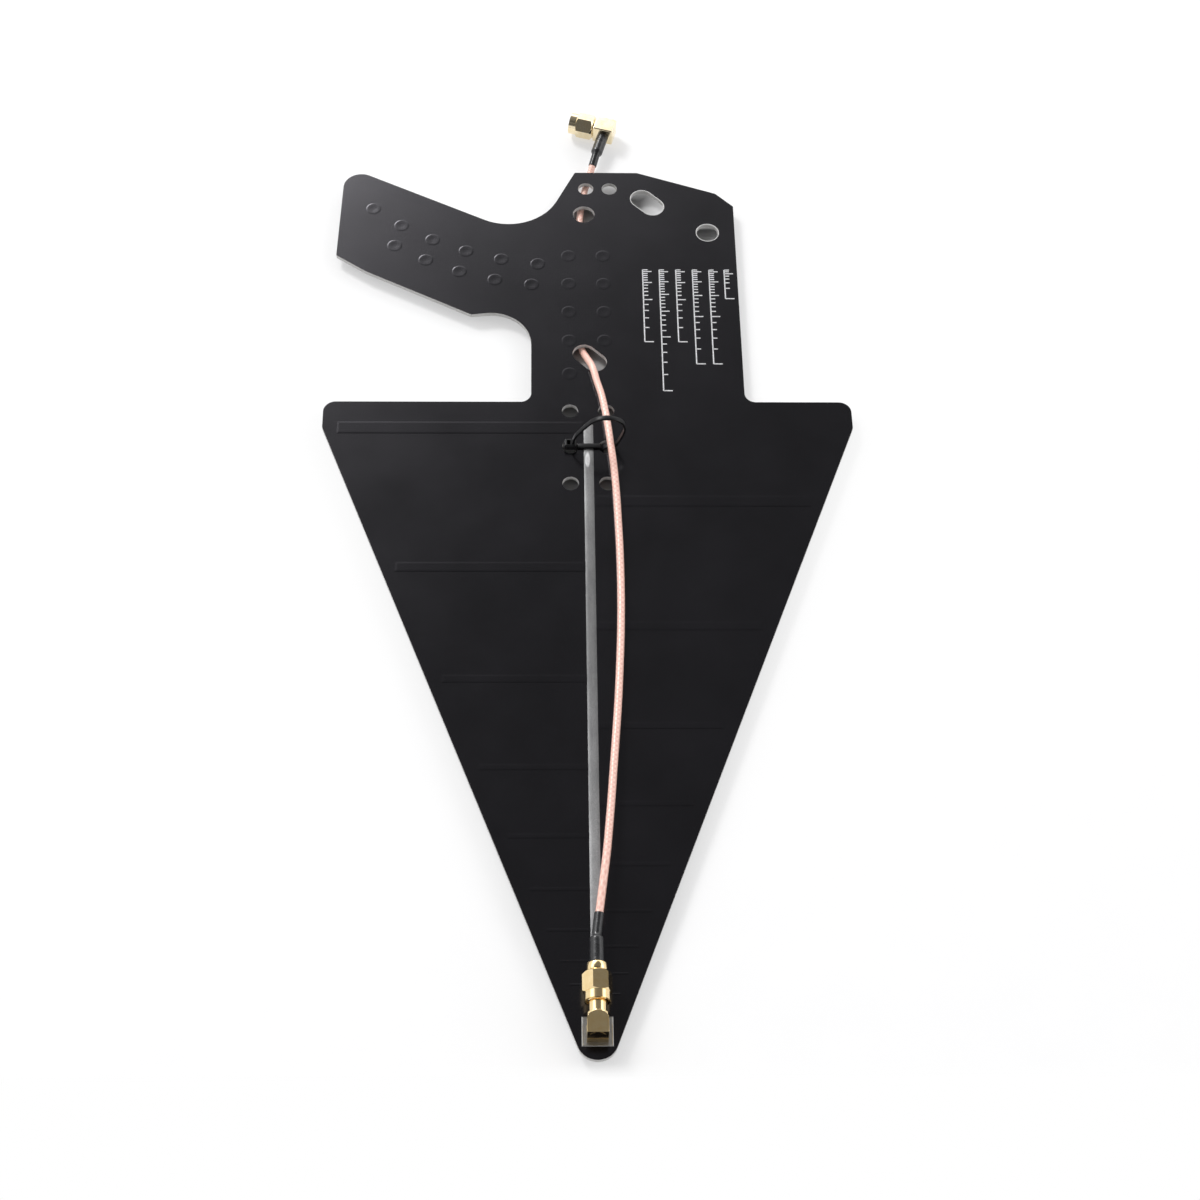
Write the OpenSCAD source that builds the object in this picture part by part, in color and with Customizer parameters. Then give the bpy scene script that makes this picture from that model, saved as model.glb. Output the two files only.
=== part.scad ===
// Log-periodic antenna: a pistol-shaped circuit board with etched dipole arms on both faces,
// a right-angle coax jack at its tip and a coax lead held by a nylon tie.
// +Y runs from the feed tip to the top edge, +Z is up from the table, and X = 0 is the boom line.

/* [Board] */
// Thickness of the laminate
board_t = 1.6; // [1.2:0.1:2.4]
// Gap under the board, which stands on the legs of its jack
board_lift = 2.9; // [2.9:0.1:5]
// Length of the element fan, from tip to shoulders
fan_l = 242.1; // [220:0.1:280]
// Half angle of the fan
fan_angle = 20.7; // [19:0.1:24]
// Length of the short straight side below each shoulder
side_l = 11.3; // [9:0.1:20]
// Radius of the feed tip
tip_r = 6.2; // [5:0.1:8]
// Radius of the shoulder corners
shoulder_r = 4.3; // [2:0.1:6]
// Radius of the blunt corners below the shoulders
side_r = 3; // [1:0.1:8]

/* [Body] */
// Length of the body, from shoulders to top edge
body_l = 108.1; // [106:0.1:125]
// Distance from the boom line to the right edge
body_right = 54.7; // [53:0.1:70]
// Distance from the boom line to the left edge, beside the finger notch
body_left = 19.7; // [16:0.1:22]
// Length of the right edge, from shoulders to corner cut
right_edge_l = 91.5; // [86:0.1:96]
// Size of the cut at the right corner
corner_cut = 6.35; // [3:0.05:9]
// Distance from the boom line to the right end of the top edge
top_right = 19.5; // [16:0.1:30]
// Distance from the boom line to the left end of the top edge
top_left = 3.6; // [3:0.1:6]
// Radius of the inner corners at the shoulders
inner_r = 3.8; // [2:0.1:6]

/* [Grip] */
// Distance from the boom line to the end of the grip
grip_reach = 90.3; // [80:0.1:91]
// Length of the grip's end face
grip_end_l = 43.7; // [38:0.1:48]
// Height of the lower end corner above the shoulders
grip_end_h = 67.1; // [63:0.1:72]
// Lean of the grip's end face
grip_lean = 1.5; // [0:0.1:4]
// Radius of the upper end corner
grip_end_r = 6.5; // [3:0.1:9]
// Length of the heel cut along X
heel_l = 10.8; // [6:0.1:16]
// Height of the heel cut along Y
heel_h = 7.6; // [5:0.1:9]
// Distance from the boom line to the cusp of the finger notch
cusp_x = 41.1; // [38:0.1:46]
// Height of the cusp above the shoulders
cusp_h = 39.3; // [36:0.1:42]
// Radius of the finger notch
finger_r = 14.3; // [10:0.1:17]
// Height of the finger notch above the shoulders
finger_h = 41.9; // [39:0.1:44]
// Radius of the thumb web
thumb_r = 19.5; // [14:0.1:26]
// Distance from the boom line to the corner that the thumb web rounds
thumb_x = 19.2; // [17:0.1:22]
// Height of that corner above the shoulders
thumb_h = 75.5; // [73:0.1:80]

/* [Holes] */
// Diameter of the hanging hole near the right edge
hang_hole_d = 8; // [5:0.1:10]
// Distance of the hanging hole from the right edge
hang_hole_inset = 10; // [8:0.1:22]
// Distance of the hanging hole below the right corner
hang_hole_drop = 12.9; // [9:0.1:40]
// Diameter of the hole over the lead
pass_hole_d = 7.9; // [5:0.1:9]
// Distance of that hole from the boom line
pass_hole_x = -0.5; // [-2:0.1:2]
// Distance of that hole below the top edge
pass_hole_drop = 20.8; // [19:0.1:25]
// Diameter of the two small holes at the top edge
top_hole_d = 5.6; // [4:0.1:6.4]
// Distance of the left small hole from the boom line
top_hole_x = 0.4; // [0:0.1:2]
// Distance of the two small holes below the top edge
top_hole_drop = 8.1; // [6:0.1:10]
// Distance between the two small holes
top_hole_pitch = 8.7; // [8:0.1:12]
// Width of the oblong slots
slot_w = 8.2; // [7.6:0.1:9]
// Distance between the end centres of an oblong slot
slot_span = 5.4; // [5:0.1:7]
// Distance of the strap slot from the boom line
strap_slot_x = 23; // [20:0.1:36]
// Distance of the strap slot below the top edge
strap_slot_drop = 14.9; // [13:0.1:28]
// Distance of the lead's slot from the boom line
lead_slot_x = 0.9; // [0.5:0.1:1.3]
// Height of the lead's slot above the shoulders
lead_slot_h = 19.6; // [19:0.1:20.2]
// Lean of the oblong slots
slot_lean = 45; // [40:1:50]
// Diameter of the tie holes
tie_hole_d = 5.6; // [5.2:0.1:6]
// Distance between the two columns of tie holes
tie_hole_gap = 12.5; // [12.2:0.1:13]
// Distance between the rows of tie holes
tie_hole_pitch = 15.5; // [14:0.1:18]
// Distance of the first row below the shoulders
tie_hole_drop = 4; // [3.5:0.1:6]

/* [Copper] */
// Thickness of the copper with its coat
copper_t = 0.1; // [0.04:0.01:0.14]
// Number of dipole arms on each face
element_count = 18; // [6:1:18]
// Size ratio from one element to the next
element_ratio = 0.865; // [0.84:0.005:0.88]
// Distance of the first element below the shoulders
first_element_drop = 11.3; // [11:0.1:12.5]
// Width of the first element
first_element_w = 5.1; // [3:0.1:5.4]
// Distance from an arm's end to the slanted edge
element_inset = 5.1; // [3:0.1:8]
// Distance from the tip to the point that all elements shrink towards
element_origin = 1.1; // [0:0.1:3]
// Width of the boom
boom_w = 3.3; // [2:0.1:4.4]
// Distance of the boom's end below the shoulders
boom_drop = 10; // [8:0.1:11]
// Width and length of the feed land
land_w = 9.3; // [8.4:0.1:10]
// Distance from the tip to the middle of the feed land
feed_inset = 8.8; // [8:0.1:12]

/* [Dots] */
// Diameter of the raised dots
dot_d = 5.4; // [3:0.1:6]
// Height of the raised dots
dot_t = 0.15; // [0.1:0.01:0.4]
// Width of a dot's sloped rim
dot_bevel = 0.6; // [0.2:0.1:1]
// Number of pairs of dots along the grip
dot_pairs = 5; // [2:1:5]
// Distance between the two dots of a pair
dot_gap = 10; // [8:0.1:12]
// Lean of each pair
dot_lean = 13; // [0:1:20]
// Radius of the arc that the pairs follow
dot_arc_r = 108; // [100:1:120]
// Angle of the first pair on that arc
dot_from_angle = 6; // [4:0.5:8]
// Angle from one pair to the next
dot_step_angle = 7.1; // [6:0.1:7.5]
// Distance of the first pair from the boom line
dot_first_x = 18.5; // [17:0.1:20]
// Height of the first pair above the shoulders
dot_first_h = 58.3; // [56:0.1:60]
// Number of rows of dots beside the boom line
dot_column_count = 4; // [1:1:4]
// Height of the lowest row above the shoulders
dot_column_from = 27.4; // [27:0.1:31]
// Distance between the rows
dot_column_pitch = 13.2; // [8:0.1:14]
// Height of the single dot near the lead's slot
dot_last_h = 12.5; // [8:0.1:16]

/* [Jack] */
// Width of the jack's block
jack_w = 6.4; // [6:0.1:7.5]
// Length of the jack's block along the boom
jack_l = 6.6; // [6:0.1:8]
// Gap between the coupling nut and the land
nut_lift = 0.18; // [0.1:0.01:1.2]
// Height of the block above the axis
jack_crown = 3.2; // [2.9:0.1:4]
// Length of the threaded barrel
barrel_l = 8.6; // [8:0.1:10]
// Distance between the legs, both ways
leg_pitch = 5.08; // [4.6:0.02:5.2]
// Diameter of a leg
leg_d = 1; // [0.7:0.05:1.2]
// Play of a leg in its hole
leg_play = 0.3; // [0.2:0.05:0.5]
// Length of the plain ring in front of the block
shoulder_ring_l = 0.3; // [0.2:0.1:1.5]
// Diameter of the plain neck between the block and the thread
neck_relief_d = 5.3; // [5:0.1:5.8]
// Radius of the block's two corners at the barrel
nose_r = 2.7; // [0.5:0.1:2.9]
// Bevel of the block's edges
block_bevel = 0.6; // [0.2:0.1:1]
// Diameter of the cap at the back of a right-angle block
cap_d = 4.8; // [4.4:0.1:5.2]
// Thickness of that cap
cap_t = 0.8; // [0.5:0.1:1]
// Diameter of the bead round the contact's leg
bead_d = 2.8; // [2.2:0.1:3]
// Diameter of a solder joint
solder_d = 2.4; // [1.9:0.1:2.8]
// Height of a solder joint
solder_h = 1.6; // [1:0.1:2.4]

/* [Coax plugs] */
// Diameter over the coupling thread
thread_d = 6.35; // [6:0.05:6.5]
// Diameter of the insulators
insulator_d = 4.1; // [3.6:0.05:4.2]
// Diameter of a plug's front sleeve
front_d = 4.55; // [4.5:0.01:4.7]
// Diameter of the socket contacts
contact_d = 1.27; // [1.2:0.01:1.5]
// Diameter of the plug pins
pin_d = 0.92; // [0.8:0.01:0.96]
// Length of a pin in front of its insulator
pin_reach = 2.3; // [1.8:0.1:2.6]
// Depth of the socket contact
socket_depth = 2.9; // [2.7:0.1:3.4]
// Length of a plug's insulator
insulator_l = 8; // [7.6:0.1:8.6]
// Depth of the recess that a plug's front sleeve enters
recess_l = 1.9; // [1.6:0.1:2.2]
// Thickness of a gasket
gasket_t = 1; // [0.6:0.1:1.2]
// Thickness of a plug's flange
flange_t = 1; // [0.8:0.1:1.4]
// Width across the flats of a coupling nut
nut_flats = 8; // [7.6:0.1:9]
// Length of a nut's hexagon
nut_hex_l = 6.5; // [5.6:0.1:8]
// Thickness of a nut's rear wall
nut_wall = 2.3; // [2:0.1:2.8]
// Bevel at the front of a nut's hexagon
nut_bevel = 0.5; // [0.2:0.1:0.6]
// Bevel at the rear of a nut's hexagon
nut_rear_bevel = 0.9; // [0.4:0.1:1.2]
// Diameter of a nut's round skirt
nut_skirt_d = 7.8; // [7.3:0.1:8]
// Length of a nut's round skirt
nut_skirt_l = 2.6; // [2:0.1:3]
// Diameter of the collar behind a nut
collar_d = 6.2; // [5.6:0.1:7]
// Length of the collar behind the straight plug's nut
collar_l = 2.5; // [2:0.1:4]
// Bevel of the collar's rims
collar_bevel = 0.4; // [0.2:0.1:0.8]
// Turn of the tightened nut
plug_nut_turn = 13; // [0:1:60]
// Turn of the free nut at rest
elbow_nut_turn = 13; // [0:1:60]
// Diameter of a crimp ferrule
ferrule_d = 3.8; // [3.6:0.05:4.2]
// Length of a crimp ferrule
ferrule_l = 8; // [7:0.1:8.6]
// Diameter of the stem inside a ferrule
stem_d = 2.9; // [2.7:0.05:3]
// Length of that stem
stem_l = 5.5; // [4:0.1:7]
// Diameter of the core's bore through a stem
core_d = 1.7; // [1.5:0.1:2]
// Width of the elbow's block
elbow_w = 6.8; // [6.4:0.1:7.4]
// Distance from the elbow's axis crossing to the mating plane
elbow_reach = 10.7; // [10.5:0.1:12]
// Length of the elbow's block behind the axis crossing
elbow_back = 3.6; // [3.4:0.1:4.4]

/* [Sleeves] */
// Wall of the shrink sleeves
sleeve_wall = 0.25; // [0.2:0.05:0.5]
// Length of a sleeve over its ferrule
sleeve_l = 9.2; // [9:0.1:11]
// Length of the straight plug's sleeve on the lead
sleeve_tail_l = 7.4; // [4:0.1:9]
// Length of the elbow's sleeve on the lead
elbow_tail_l = 5; // [4:0.1:6]
// Length of a sleeve's taper
sleeve_taper = 0.9; // [0.5:0.1:1.2]
// Bend of the straight plug's sleeve towards the lead
sleeve_bend = 7; // [0:0.5:9]
// Bend of the elbow's sleeve towards the table
elbow_tail_bend = 14; // [10:0.5:15]
// Diameter of the lead
lead_d = 2.5; // [2.2:0.1:2.6]

/* [Tie] */
// Width of the tie's strap
strap_w = 1.7; // [1.4:0.1:2.2]
// Thickness of the tie's strap
strap_t = 0.65; // [0.5:0.05:0.8]
// Length of the tie's head along X
head_l = 4.2; // [4:0.1:5]
// Width of the tie's head along Y
head_w = 3.4; // [3:0.1:4.2]
// Height of the tie's head
head_h = 2.6; // [2.4:0.1:3.4]
// Bevel of the head's upper edges
head_bevel = 0.5; // [0.2:0.1:0.8]
// Length of the open window in the head
window_l = 1.2; // [0.8:0.1:1.4]
// Depth of that window
window_depth = 1.6; // [1:0.1:2]
// Width of the tie's loose loop
loop_w = 17.6; // [17:0.1:18.2]
// Height of the tie's loose loop
loop_h = 16.1; // [14:0.1:18]

/* [Hidden] */
$fn = 48;

// Board levels and outline stations
cut = 1;
face_z = board_lift + board_t;
shoulder_y = (fan_l - body_l) / 2;
tip_y = shoulder_y - fan_l;
top_y = shoulder_y + body_l;
apex_y = tip_y - tip_r * (1 / sin(fan_angle) - 1);
side_y = shoulder_y - side_l;
half_w = (side_y - apex_y) * tan(fan_angle);
arc_step = 7;
sharp_r = 0.8;
heel_r = 6;

// Copper: the feed land, and the elements that lie clear of it
land_y = tip_y + feed_inset;
land_top = land_y + land_w / 2;
boom_top = shoulder_y - boom_drop;
elements = [for (n = [0 : element_count - 1]) if (element_y(n) - element_w(n) / 2 > land_top) n];

// Plugs: stations run along the coax axis from the mating plane, towards the plug
fit = 0.05;
nut_play = 0.2;
flange_at = recess_l + gasket_t;
nut_seat = flange_at + flange_t + nut_play;
nut_rear = nut_seat + nut_wall;
nut_hex_from = nut_rear - nut_hex_l;
nut_front = nut_hex_from - nut_skirt_l;
nut_corner_r = nut_flats / 2 / cos(30);
nut_rear_in = 0.3;
collar_gap = 0.3;
collar_at = nut_rear + collar_gap;
collar_rear = collar_at + collar_l;
neck_step = 0.45;
neck_d = front_d + neck_step;
flange_play = 0.25;
flange_d = thread_d - flange_play;
ring_t = 0.5;
ring_depth = 0.3;
ring_split = 35;
ring_from = nut_seat + (nut_wall - ring_t) / 2;
ring_to = ring_from + ring_t;

// Jack
jack_axis_h = nut_corner_r + nut_lift;
jack_floor_z = face_z + copper_t;
jack_axis_z = jack_floor_z + jack_axis_h;
jack_end_y = land_y + jack_l / 2 + barrel_l;
mating_y = jack_end_y - recess_l;
barrel_from = recess_l - barrel_l;
thread_cover = 0.3;
thread_from = nut_front + thread_cover;
block_edge_r = 0.2;
block_mid = land_y - mating_y;
block_rear = block_mid - jack_l / 2;
leg_hole_d = leg_d + leg_play;
leg_places = [for (x = [-1, 1], y = [-1, 1]) [x, y] * leg_pitch / 2];
solder_tip = 0.1;
solder_step = 0.25;

// Sleeves
sleeve_d = ferrule_d + 2 * sleeve_wall;
tail_d = lead_d + 2 * sleeve_wall;
sleeve_end = collar_rear + sleeve_l;

// Free plug: the crossing of its two axes, with the nut pointing left and the sleeve down to the table
nut_rest = 0.13;
elbow_x = 8;
elbow_clear = 21.5;
elbow_at = [elbow_x, top_y + elbow_clear, nut_corner_r + nut_rest];
elbow_yaw = -16.5;
elbow_roll = 2;
elbow_front = collar_at - elbow_reach;
elbow_rear = elbow_reach + elbow_back;
leg_from = elbow_w / 2;
elbow_tail_from = leg_from + sleeve_l;

// Lead: route points chosen by hand, from the straight plug's sleeve to the elbow's sleeve
lead_seat = 0.4;
lead_start = [0, mating_y + sleeve_end, jack_axis_z];
lead_heading = [sin(sleeve_bend), cos(sleeve_bend), 0];
elbow_turn_at = elbow_at + elbow_ray(elbow_roll) * elbow_tail_from;
elbow_heading = elbow_ray(elbow_roll + elbow_tail_bend);
lead_points = [
    [3.4, -111, 9.1], [4.4, -101, 8.8], [5.3, -91, 8.4], [6.1, -81, 8.0], [6.9, -71, 7.6], [7.7, -61, 7.2],
    [8.4, -51, 6.9], [9.0, -40, 6.5], [9.5, -29, 6.2], [9.8, -18, 6.0], [9.9, -6, 5.9], [9.8, 5, 5.9],
    [9.5, 16, 5.9], [9.1, 27, 6.1], [8.4, 38, 6.5], [7.4, 48, 6.8], [6.1, 60, 6.4], [4.7, 69, 6.0],
    [3.2, 75, 5.9], [2.1, 80, 5.9], [1.1, 83.5, 5.2], [0.0, 87, 3.6], [-1.1, 90.5, 2.0], [-2.0, 94, 1.4],
    [-2.6, 101, 1.4], [-3.0, 112, 1.4], [-3.1, 124, 1.4], [-2.9, 136, 1.4], [-2.4, 148, 1.4],
    [-1.5, 159, 1.4], [0.0, 168.5, 1.4], [1.5, 174, 1.36]
];
lead_route = concat(
    [lead_start + lead_heading * lead_seat, lead_start + lead_heading * sleeve_tail_l],
    lead_points,
    [
        elbow_turn_at + elbow_heading * elbow_tail_l,
        elbow_turn_at + elbow_heading * lead_seat
    ]
);
lead_sides = 8;
lead_steps = 2;

// Tie: the strap turns once tightly round the web between two holes, then loops loosely round the lead
tie_y = shoulder_y - tie_hole_drop - tie_hole_pitch;
tie_x = tie_hole_gap / 2;
tie_clear = 0.1;
tie_chord = sqrt(pow(tie_hole_d / 2, 2) - pow(strap_w / 2, 2));
tie_inner_x = tie_x - tie_chord + tie_clear;
tie_turn_gap = 0.3;
tie_foot_x = tie_inner_x + tie_turn_gap + 1.5 * strap_t;
tie_top = copper_t;
tie_low = -board_t - copper_t;
loop_seat = 1.35;
loop_from = head_l / 2 - tie_x - loop_seat;
loop_shares = [
    [0, 0.124], [0.045, 0.348], [0.138, 0.533], [0.278, 0.764], [0.42, 0.932], [0.608, 1], [0.801, 0.969],
    [0.949, 0.851], [1, 0.658], [0.972, 0.472], [0.915, 0.286]
];
tie_loop = [for (share = loop_shares) [loop_from + share.x * loop_w, share.y * loop_h]];
run_h = tie_top + tie_clear + strap_t / 2;
run_stops = [[2.9, 2.2], [1.7, 1.1], [0.1, 1]];
tie_run = [for (stop = run_stops) [tie_x + stop.x, stop.y * run_h]];
tie_route = concat(tie_loop, tie_run, [[tie_foot_x, -strap_t], [tie_foot_x, tie_low - strap_t]]);
tie_steps = 3;
window_shift = 1.2;

// A vector of length one
function unit(v) = v / norm(v);

// Direction in which the free plug's sleeve leaves, at a slope down to the table
function elbow_ray(slope) = [sin(elbow_yaw) * cos(slope), -cos(elbow_yaw) * cos(slope), -sin(slope)];

// Points of the arc that rounds corner b between a and c
function corner_arc(a, b, c, r) =
    let (u = unit(a - b), v = unit(c - b))
    let (half = acos(u * v) / 2, centre = b + unit(u + v) * r / sin(half))
    let (p = b + u * r / tan(half) - centre, q = b + v * r / tan(half) - centre)
    let (from = atan2(p.y, p.x), raw = atan2(q.y, q.x) - from)
    let (sweep = raw > 180 ? raw - 360 : raw < -180 ? raw + 360 : raw)
    let (steps = max(2, ceil(abs(sweep) / arc_step)))
    [for (i = [0 : steps]) let (angle = from + sweep * i / steps) centre + r * [cos(angle), sin(angle)]];

// Outline through corners [x, y, radius]
function rounded(corners) =
    let (n = len(corners))
    [
        for (i = [0 : n - 1])
            let (a = corners[(i + n - 1) % n], b = corners[i], c = corners[(i + 1) % n])
            each corner_arc([a.x, a.y], [b.x, b.y], [c.x, c.y], b.z)
    ];

// Point at share t of the smooth curve between b and c, with neighbours a and d
function between(a, b, c, d, t) =
    (2 * b + (c - a) * t + (2 * a - 5 * b + 4 * c - d) * t * t + (3 * b - a - 3 * c + d) * t * t * t) / 2;

// Smooth curve through the points, in equal steps between neighbours
function smooth(points, steps) =
    let (n = len(points))
    concat(
        [
            for (i = [0 : n - 2], k = [0 : steps - 1])
                between(points[max(i - 1, 0)], points[i], points[i + 1], points[min(i + 2, n - 1)], k / steps)
        ],
        [points[n - 1]]
    );

// Direction of a curve at its point i
function heading(path, i) = unit(path[min(i + 1, len(path) - 1)] - path[max(i - 1, 0)]);

// One ring of a tube round point i
function tube_ring(path, i, r, sides) =
    let (ahead = heading(path, i), side = unit(cross(ahead, [0, 0, 1])), up = cross(side, ahead))
    [
        for (k = [0 : sides - 1])
            let (angle = 360 * k / sides)
            path[i] + r * (cos(angle) * side + sin(angle) * up)
    ];

// Both edges of a strap that follows a flat curve
function strap_edges(path, t) =
    let (n = len(path), normals = [for (i = [0 : n - 1]) let (h = heading(path, i)) [-h.y, h.x] * t / 2])
    concat([for (i = [0 : n - 1]) path[i] + normals[i]], [for (i = [n - 1 : -1 : 0]) path[i] - normals[i]]);

// Place of element n along the boom, its width and the length of its arm
function element_y(n) =
    let (origin = tip_y + element_origin)
    origin + (shoulder_y - first_element_drop - origin) * pow(element_ratio, n);
function element_w(n) = first_element_w * pow(element_ratio, n);
function element_l(n) = (element_y(n) - apex_y) * tan(fan_angle) - element_inset;

// Middle of pair i of the dots along the grip
function dot_pair(i) =
    let (angle = dot_from_angle + dot_step_angle * i)
    let (step = [sin(dot_from_angle) - sin(angle), cos(dot_from_angle) - cos(angle)])
    [-dot_first_x, dot_first_h] + dot_arc_r * step;

// Tube swept along a curve
module tube(path, r, sides) {
    n = len(path);
    rings = [for (i = [0 : n - 1]) each tube_ring(path, i, r, sides)];
    walls = [
        for (i = [0 : n - 2], k = [0 : sides - 1])
            let (a = i * sides, b = a + sides, next = (k + 1) % sides)
            [a + k, a + next, b + next, b + k]
    ];
    ends = [[for (k = [sides - 1 : -1 : 0]) k], [for (k = [0 : sides - 1]) (n - 1) * sides + k]];
    polyhedron(rings, concat(walls, ends));
}

// Coordinates from the boom line and the shoulders, at the board's underside
module on_board(at) translate([at.x, shoulder_y + at.y, board_lift]) children();

// Jack's axis, with Z towards the straight plug and 0 at the mating plane
module along_feed() translate([0, mating_y, jack_axis_z]) rotate([-90, 0, 0]) children();

// Frame of the free plug, with its nut towards -X and its sleeve towards -Y
module at_elbow() translate(elbow_at) rotate([elbow_roll, 0, elbow_yaw]) children();

// Axis of the free plug, with 0 at the mating plane
module along_elbow() at_elbow() translate([-elbow_reach, 0, 0]) rotate([0, 90, 0]) children();

// Axis of the free plug's sleeve, with 0 at the axis crossing
module along_elbow_leg() at_elbow() rotate([90, 0, 0]) children();

// Rod on the Z axis between two stations
module rod(d, from, to) translate([0, 0, from]) cylinder(d = d, h = to - from);

// Hole through the board
module board_hole(x, h, d) on_board([x, h]) rod(d, -cut, board_t + cut);

// Oblong slot through the board
module board_slot(x, h) on_board([x, h]) rotate(-slot_lean) {
    for (end = [-slot_span / 2, slot_span / 2]) translate([end, 0, 0]) rod(slot_w, -cut, board_t + cut);
    translate([-slot_span / 2, -slot_w / 2, -cut]) cube([slot_span, slot_w, board_t + 2 * cut]);
}

// Pistol outline of the board, anticlockwise from the feed tip
module board_outline() polygon(rounded([
    [0, apex_y, tip_r],
    [half_w, side_y, side_r],
    [half_w, shoulder_y, shoulder_r],
    [body_right, shoulder_y, inner_r],
    [body_right, shoulder_y + right_edge_l, sharp_r],
    [body_right - corner_cut, shoulder_y + right_edge_l + corner_cut, sharp_r],
    [top_right, top_y, sharp_r],
    [-top_left, top_y, sharp_r],
    [-thumb_x, shoulder_y + thumb_h, thumb_r],
    [grip_lean - grip_reach, shoulder_y + grip_end_h + grip_end_l, grip_end_r],
    [-grip_reach, shoulder_y + grip_end_h, sharp_r],
    [heel_l - grip_reach, shoulder_y + grip_end_h - heel_h, heel_r],
    [-cusp_x, shoulder_y + cusp_h, sharp_r],
    [-body_left, shoulder_y + finger_h, finger_r],
    [-body_left, shoulder_y, inner_r],
    [-half_w, shoulder_y, shoulder_r],
    [-half_w, side_y, side_r]
]));

// Holes for the jack's legs and contact
module leg_holes(contact_hole_d) translate([0, land_y, board_lift]) {
    for (at = leg_places) translate(at) rod(leg_hole_d, -cut, board_t + copper_t + cut);
    rod(contact_hole_d, -cut, board_t + copper_t + cut);
}

module circuit_board() color("#26262c") difference() {
    translate([0, 0, board_lift]) linear_extrude(board_t) board_outline();
    board_hole(body_right - hang_hole_inset, right_edge_l - hang_hole_drop, hang_hole_d);
    board_hole(pass_hole_x, body_l - pass_hole_drop, pass_hole_d);
    for (x = [top_hole_x, top_hole_x + top_hole_pitch]) board_hole(x, body_l - top_hole_drop, top_hole_d);
    board_slot(strap_slot_x, body_l - strap_slot_drop);
    board_slot(lead_slot_x, lead_slot_h);
    for (x = [-tie_x, tie_x], row = [0 : 2]) board_hole(x, -tie_hole_drop - row * tie_hole_pitch, tie_hole_d);
    leg_holes(leg_hole_d);
}

// Arm of element n, on side -1 or 1 of the boom
module element_arm(n, side) {
    l = element_l(n) - boom_w / 2;
    x = side > 0 ? boom_w / 2 : -boom_w / 2 - l;
    translate([x, element_y(n) - element_w(n) / 2, 0]) cube([l, element_w(n), copper_t]);
}

module front_elements() color("#303036") translate([0, 0, face_z])
    for (n = elements) element_arm(n, n % 2 == 0 ? -1 : 1);

module back_elements() color("#303036") translate([0, 0, board_lift - copper_t]) difference() {
    union() {
        for (n = elements) element_arm(n, n % 2 == 0 ? 1 : -1);
        translate([-boom_w / 2, land_y, 0]) cube([boom_w, boom_top - land_y, copper_t]);
        translate([0, land_y, 0]) cylinder(d = boom_w, h = copper_t);
    }
    translate([0, land_y, 0]) rod(leg_hole_d, -cut, cut);
}

module boom_strip() color("#a8aaac")
    translate([-boom_w / 2, land_top, face_z]) cube([boom_w, boom_top - land_top, copper_t]);

module feed_land() color("#b0b2b4") difference() {
    translate([-land_w / 2, land_y - land_w / 2, face_z]) cube([land_w, land_w, copper_t]);
    leg_holes(bead_d);
}

// One raised dot with a bevelled rim
module dot(at) on_board(at) translate([0, 0, board_t]) rotate_extrude()
    polygon([[0, 0], [dot_d / 2, 0], [dot_d / 2 - dot_bevel, dot_t], [0, dot_t]]);

module grip_dots() color("#2b2b31") {
    for (i = [0 : dot_pairs], side = i < dot_pairs ? [-1, 1] : [1])
        dot(dot_pair(i) + side * dot_gap / 2 * [sin(dot_lean), cos(dot_lean)]);
    for (x = [-tie_x, tie_x], row = [0 : dot_column_count - 1])
        dot([x, dot_column_from + row * dot_column_pitch]);
    dot([-tie_x, dot_last_h]);
}

// Section of the jack's block, across the boom
module jack_section() polygon([
    [-jack_w / 2, -jack_axis_h], [jack_w / 2, -jack_axis_h],
    [jack_w / 2, jack_crown - block_bevel], [jack_w / 2 - block_bevel, jack_crown],
    [block_bevel - jack_w / 2, jack_crown], [-jack_w / 2, jack_crown - block_bevel]
]);

// Outline of the jack's block from above, with round corners at the barrel
module jack_plan() polygon(rounded([
    [-jack_w / 2, land_y - jack_l / 2, block_edge_r],
    [jack_w / 2, land_y - jack_l / 2, block_edge_r],
    [jack_w / 2, land_y + jack_l / 2, nose_r],
    [-jack_w / 2, land_y + jack_l / 2, nose_r]
]));

module jack_body() color("#d9b45c") difference() {
    union() {
        intersection() {
            translate([0, land_y + jack_l / 2 + cut, jack_axis_z]) rotate([90, 0, 0])
                linear_extrude(jack_l + 2 * cut) jack_section();
            translate([0, 0, jack_floor_z]) linear_extrude(jack_axis_h + jack_crown) jack_plan();
        }
        along_feed() rod(thread_d, thread_from, recess_l);
        along_feed() rod(neck_relief_d, block_mid, thread_from);
        along_feed() rod(jack_w, barrel_from - nose_r, barrel_from + shoulder_ring_l);
        for (at = leg_places) translate([at.x, land_y + at.y, 0]) rod(leg_d, 0, jack_floor_z + cut);
    }
    along_feed() rod(front_d + 2 * fit, 0, recess_l + cut);
    along_feed() rod(insulator_d, block_rear - cut, cut);
    along_feed() rod(cap_d, block_rear - cut, block_rear + cap_t);
    translate([0, land_y, 0]) rod(bead_d, jack_floor_z - cut, jack_axis_z);
}

module jack_cap() color("#d9b45c") along_feed() rod(cap_d, block_rear, block_rear + cap_t);

module jack_insulator() color("#f1eee4") difference() {
    union() {
        along_feed() rod(insulator_d, block_mid + bead_d / 2, 0);
        translate([0, land_y, 0]) rod(bead_d, jack_floor_z, jack_axis_z - insulator_d / 2);
    }
    along_feed() rod(contact_d, block_mid, cut);
    translate([0, land_y, 0]) rod(leg_d, jack_floor_z - cut, jack_axis_z);
}

module jack_contact() color("#e0bd66") difference() {
    union() {
        along_feed() rod(contact_d, block_mid - contact_d / 2, 0);
        translate([0, land_y, 0]) rod(leg_d, fit, jack_axis_z);
    }
    along_feed() rod(pin_d + fit, -socket_depth, cut);
}

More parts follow.
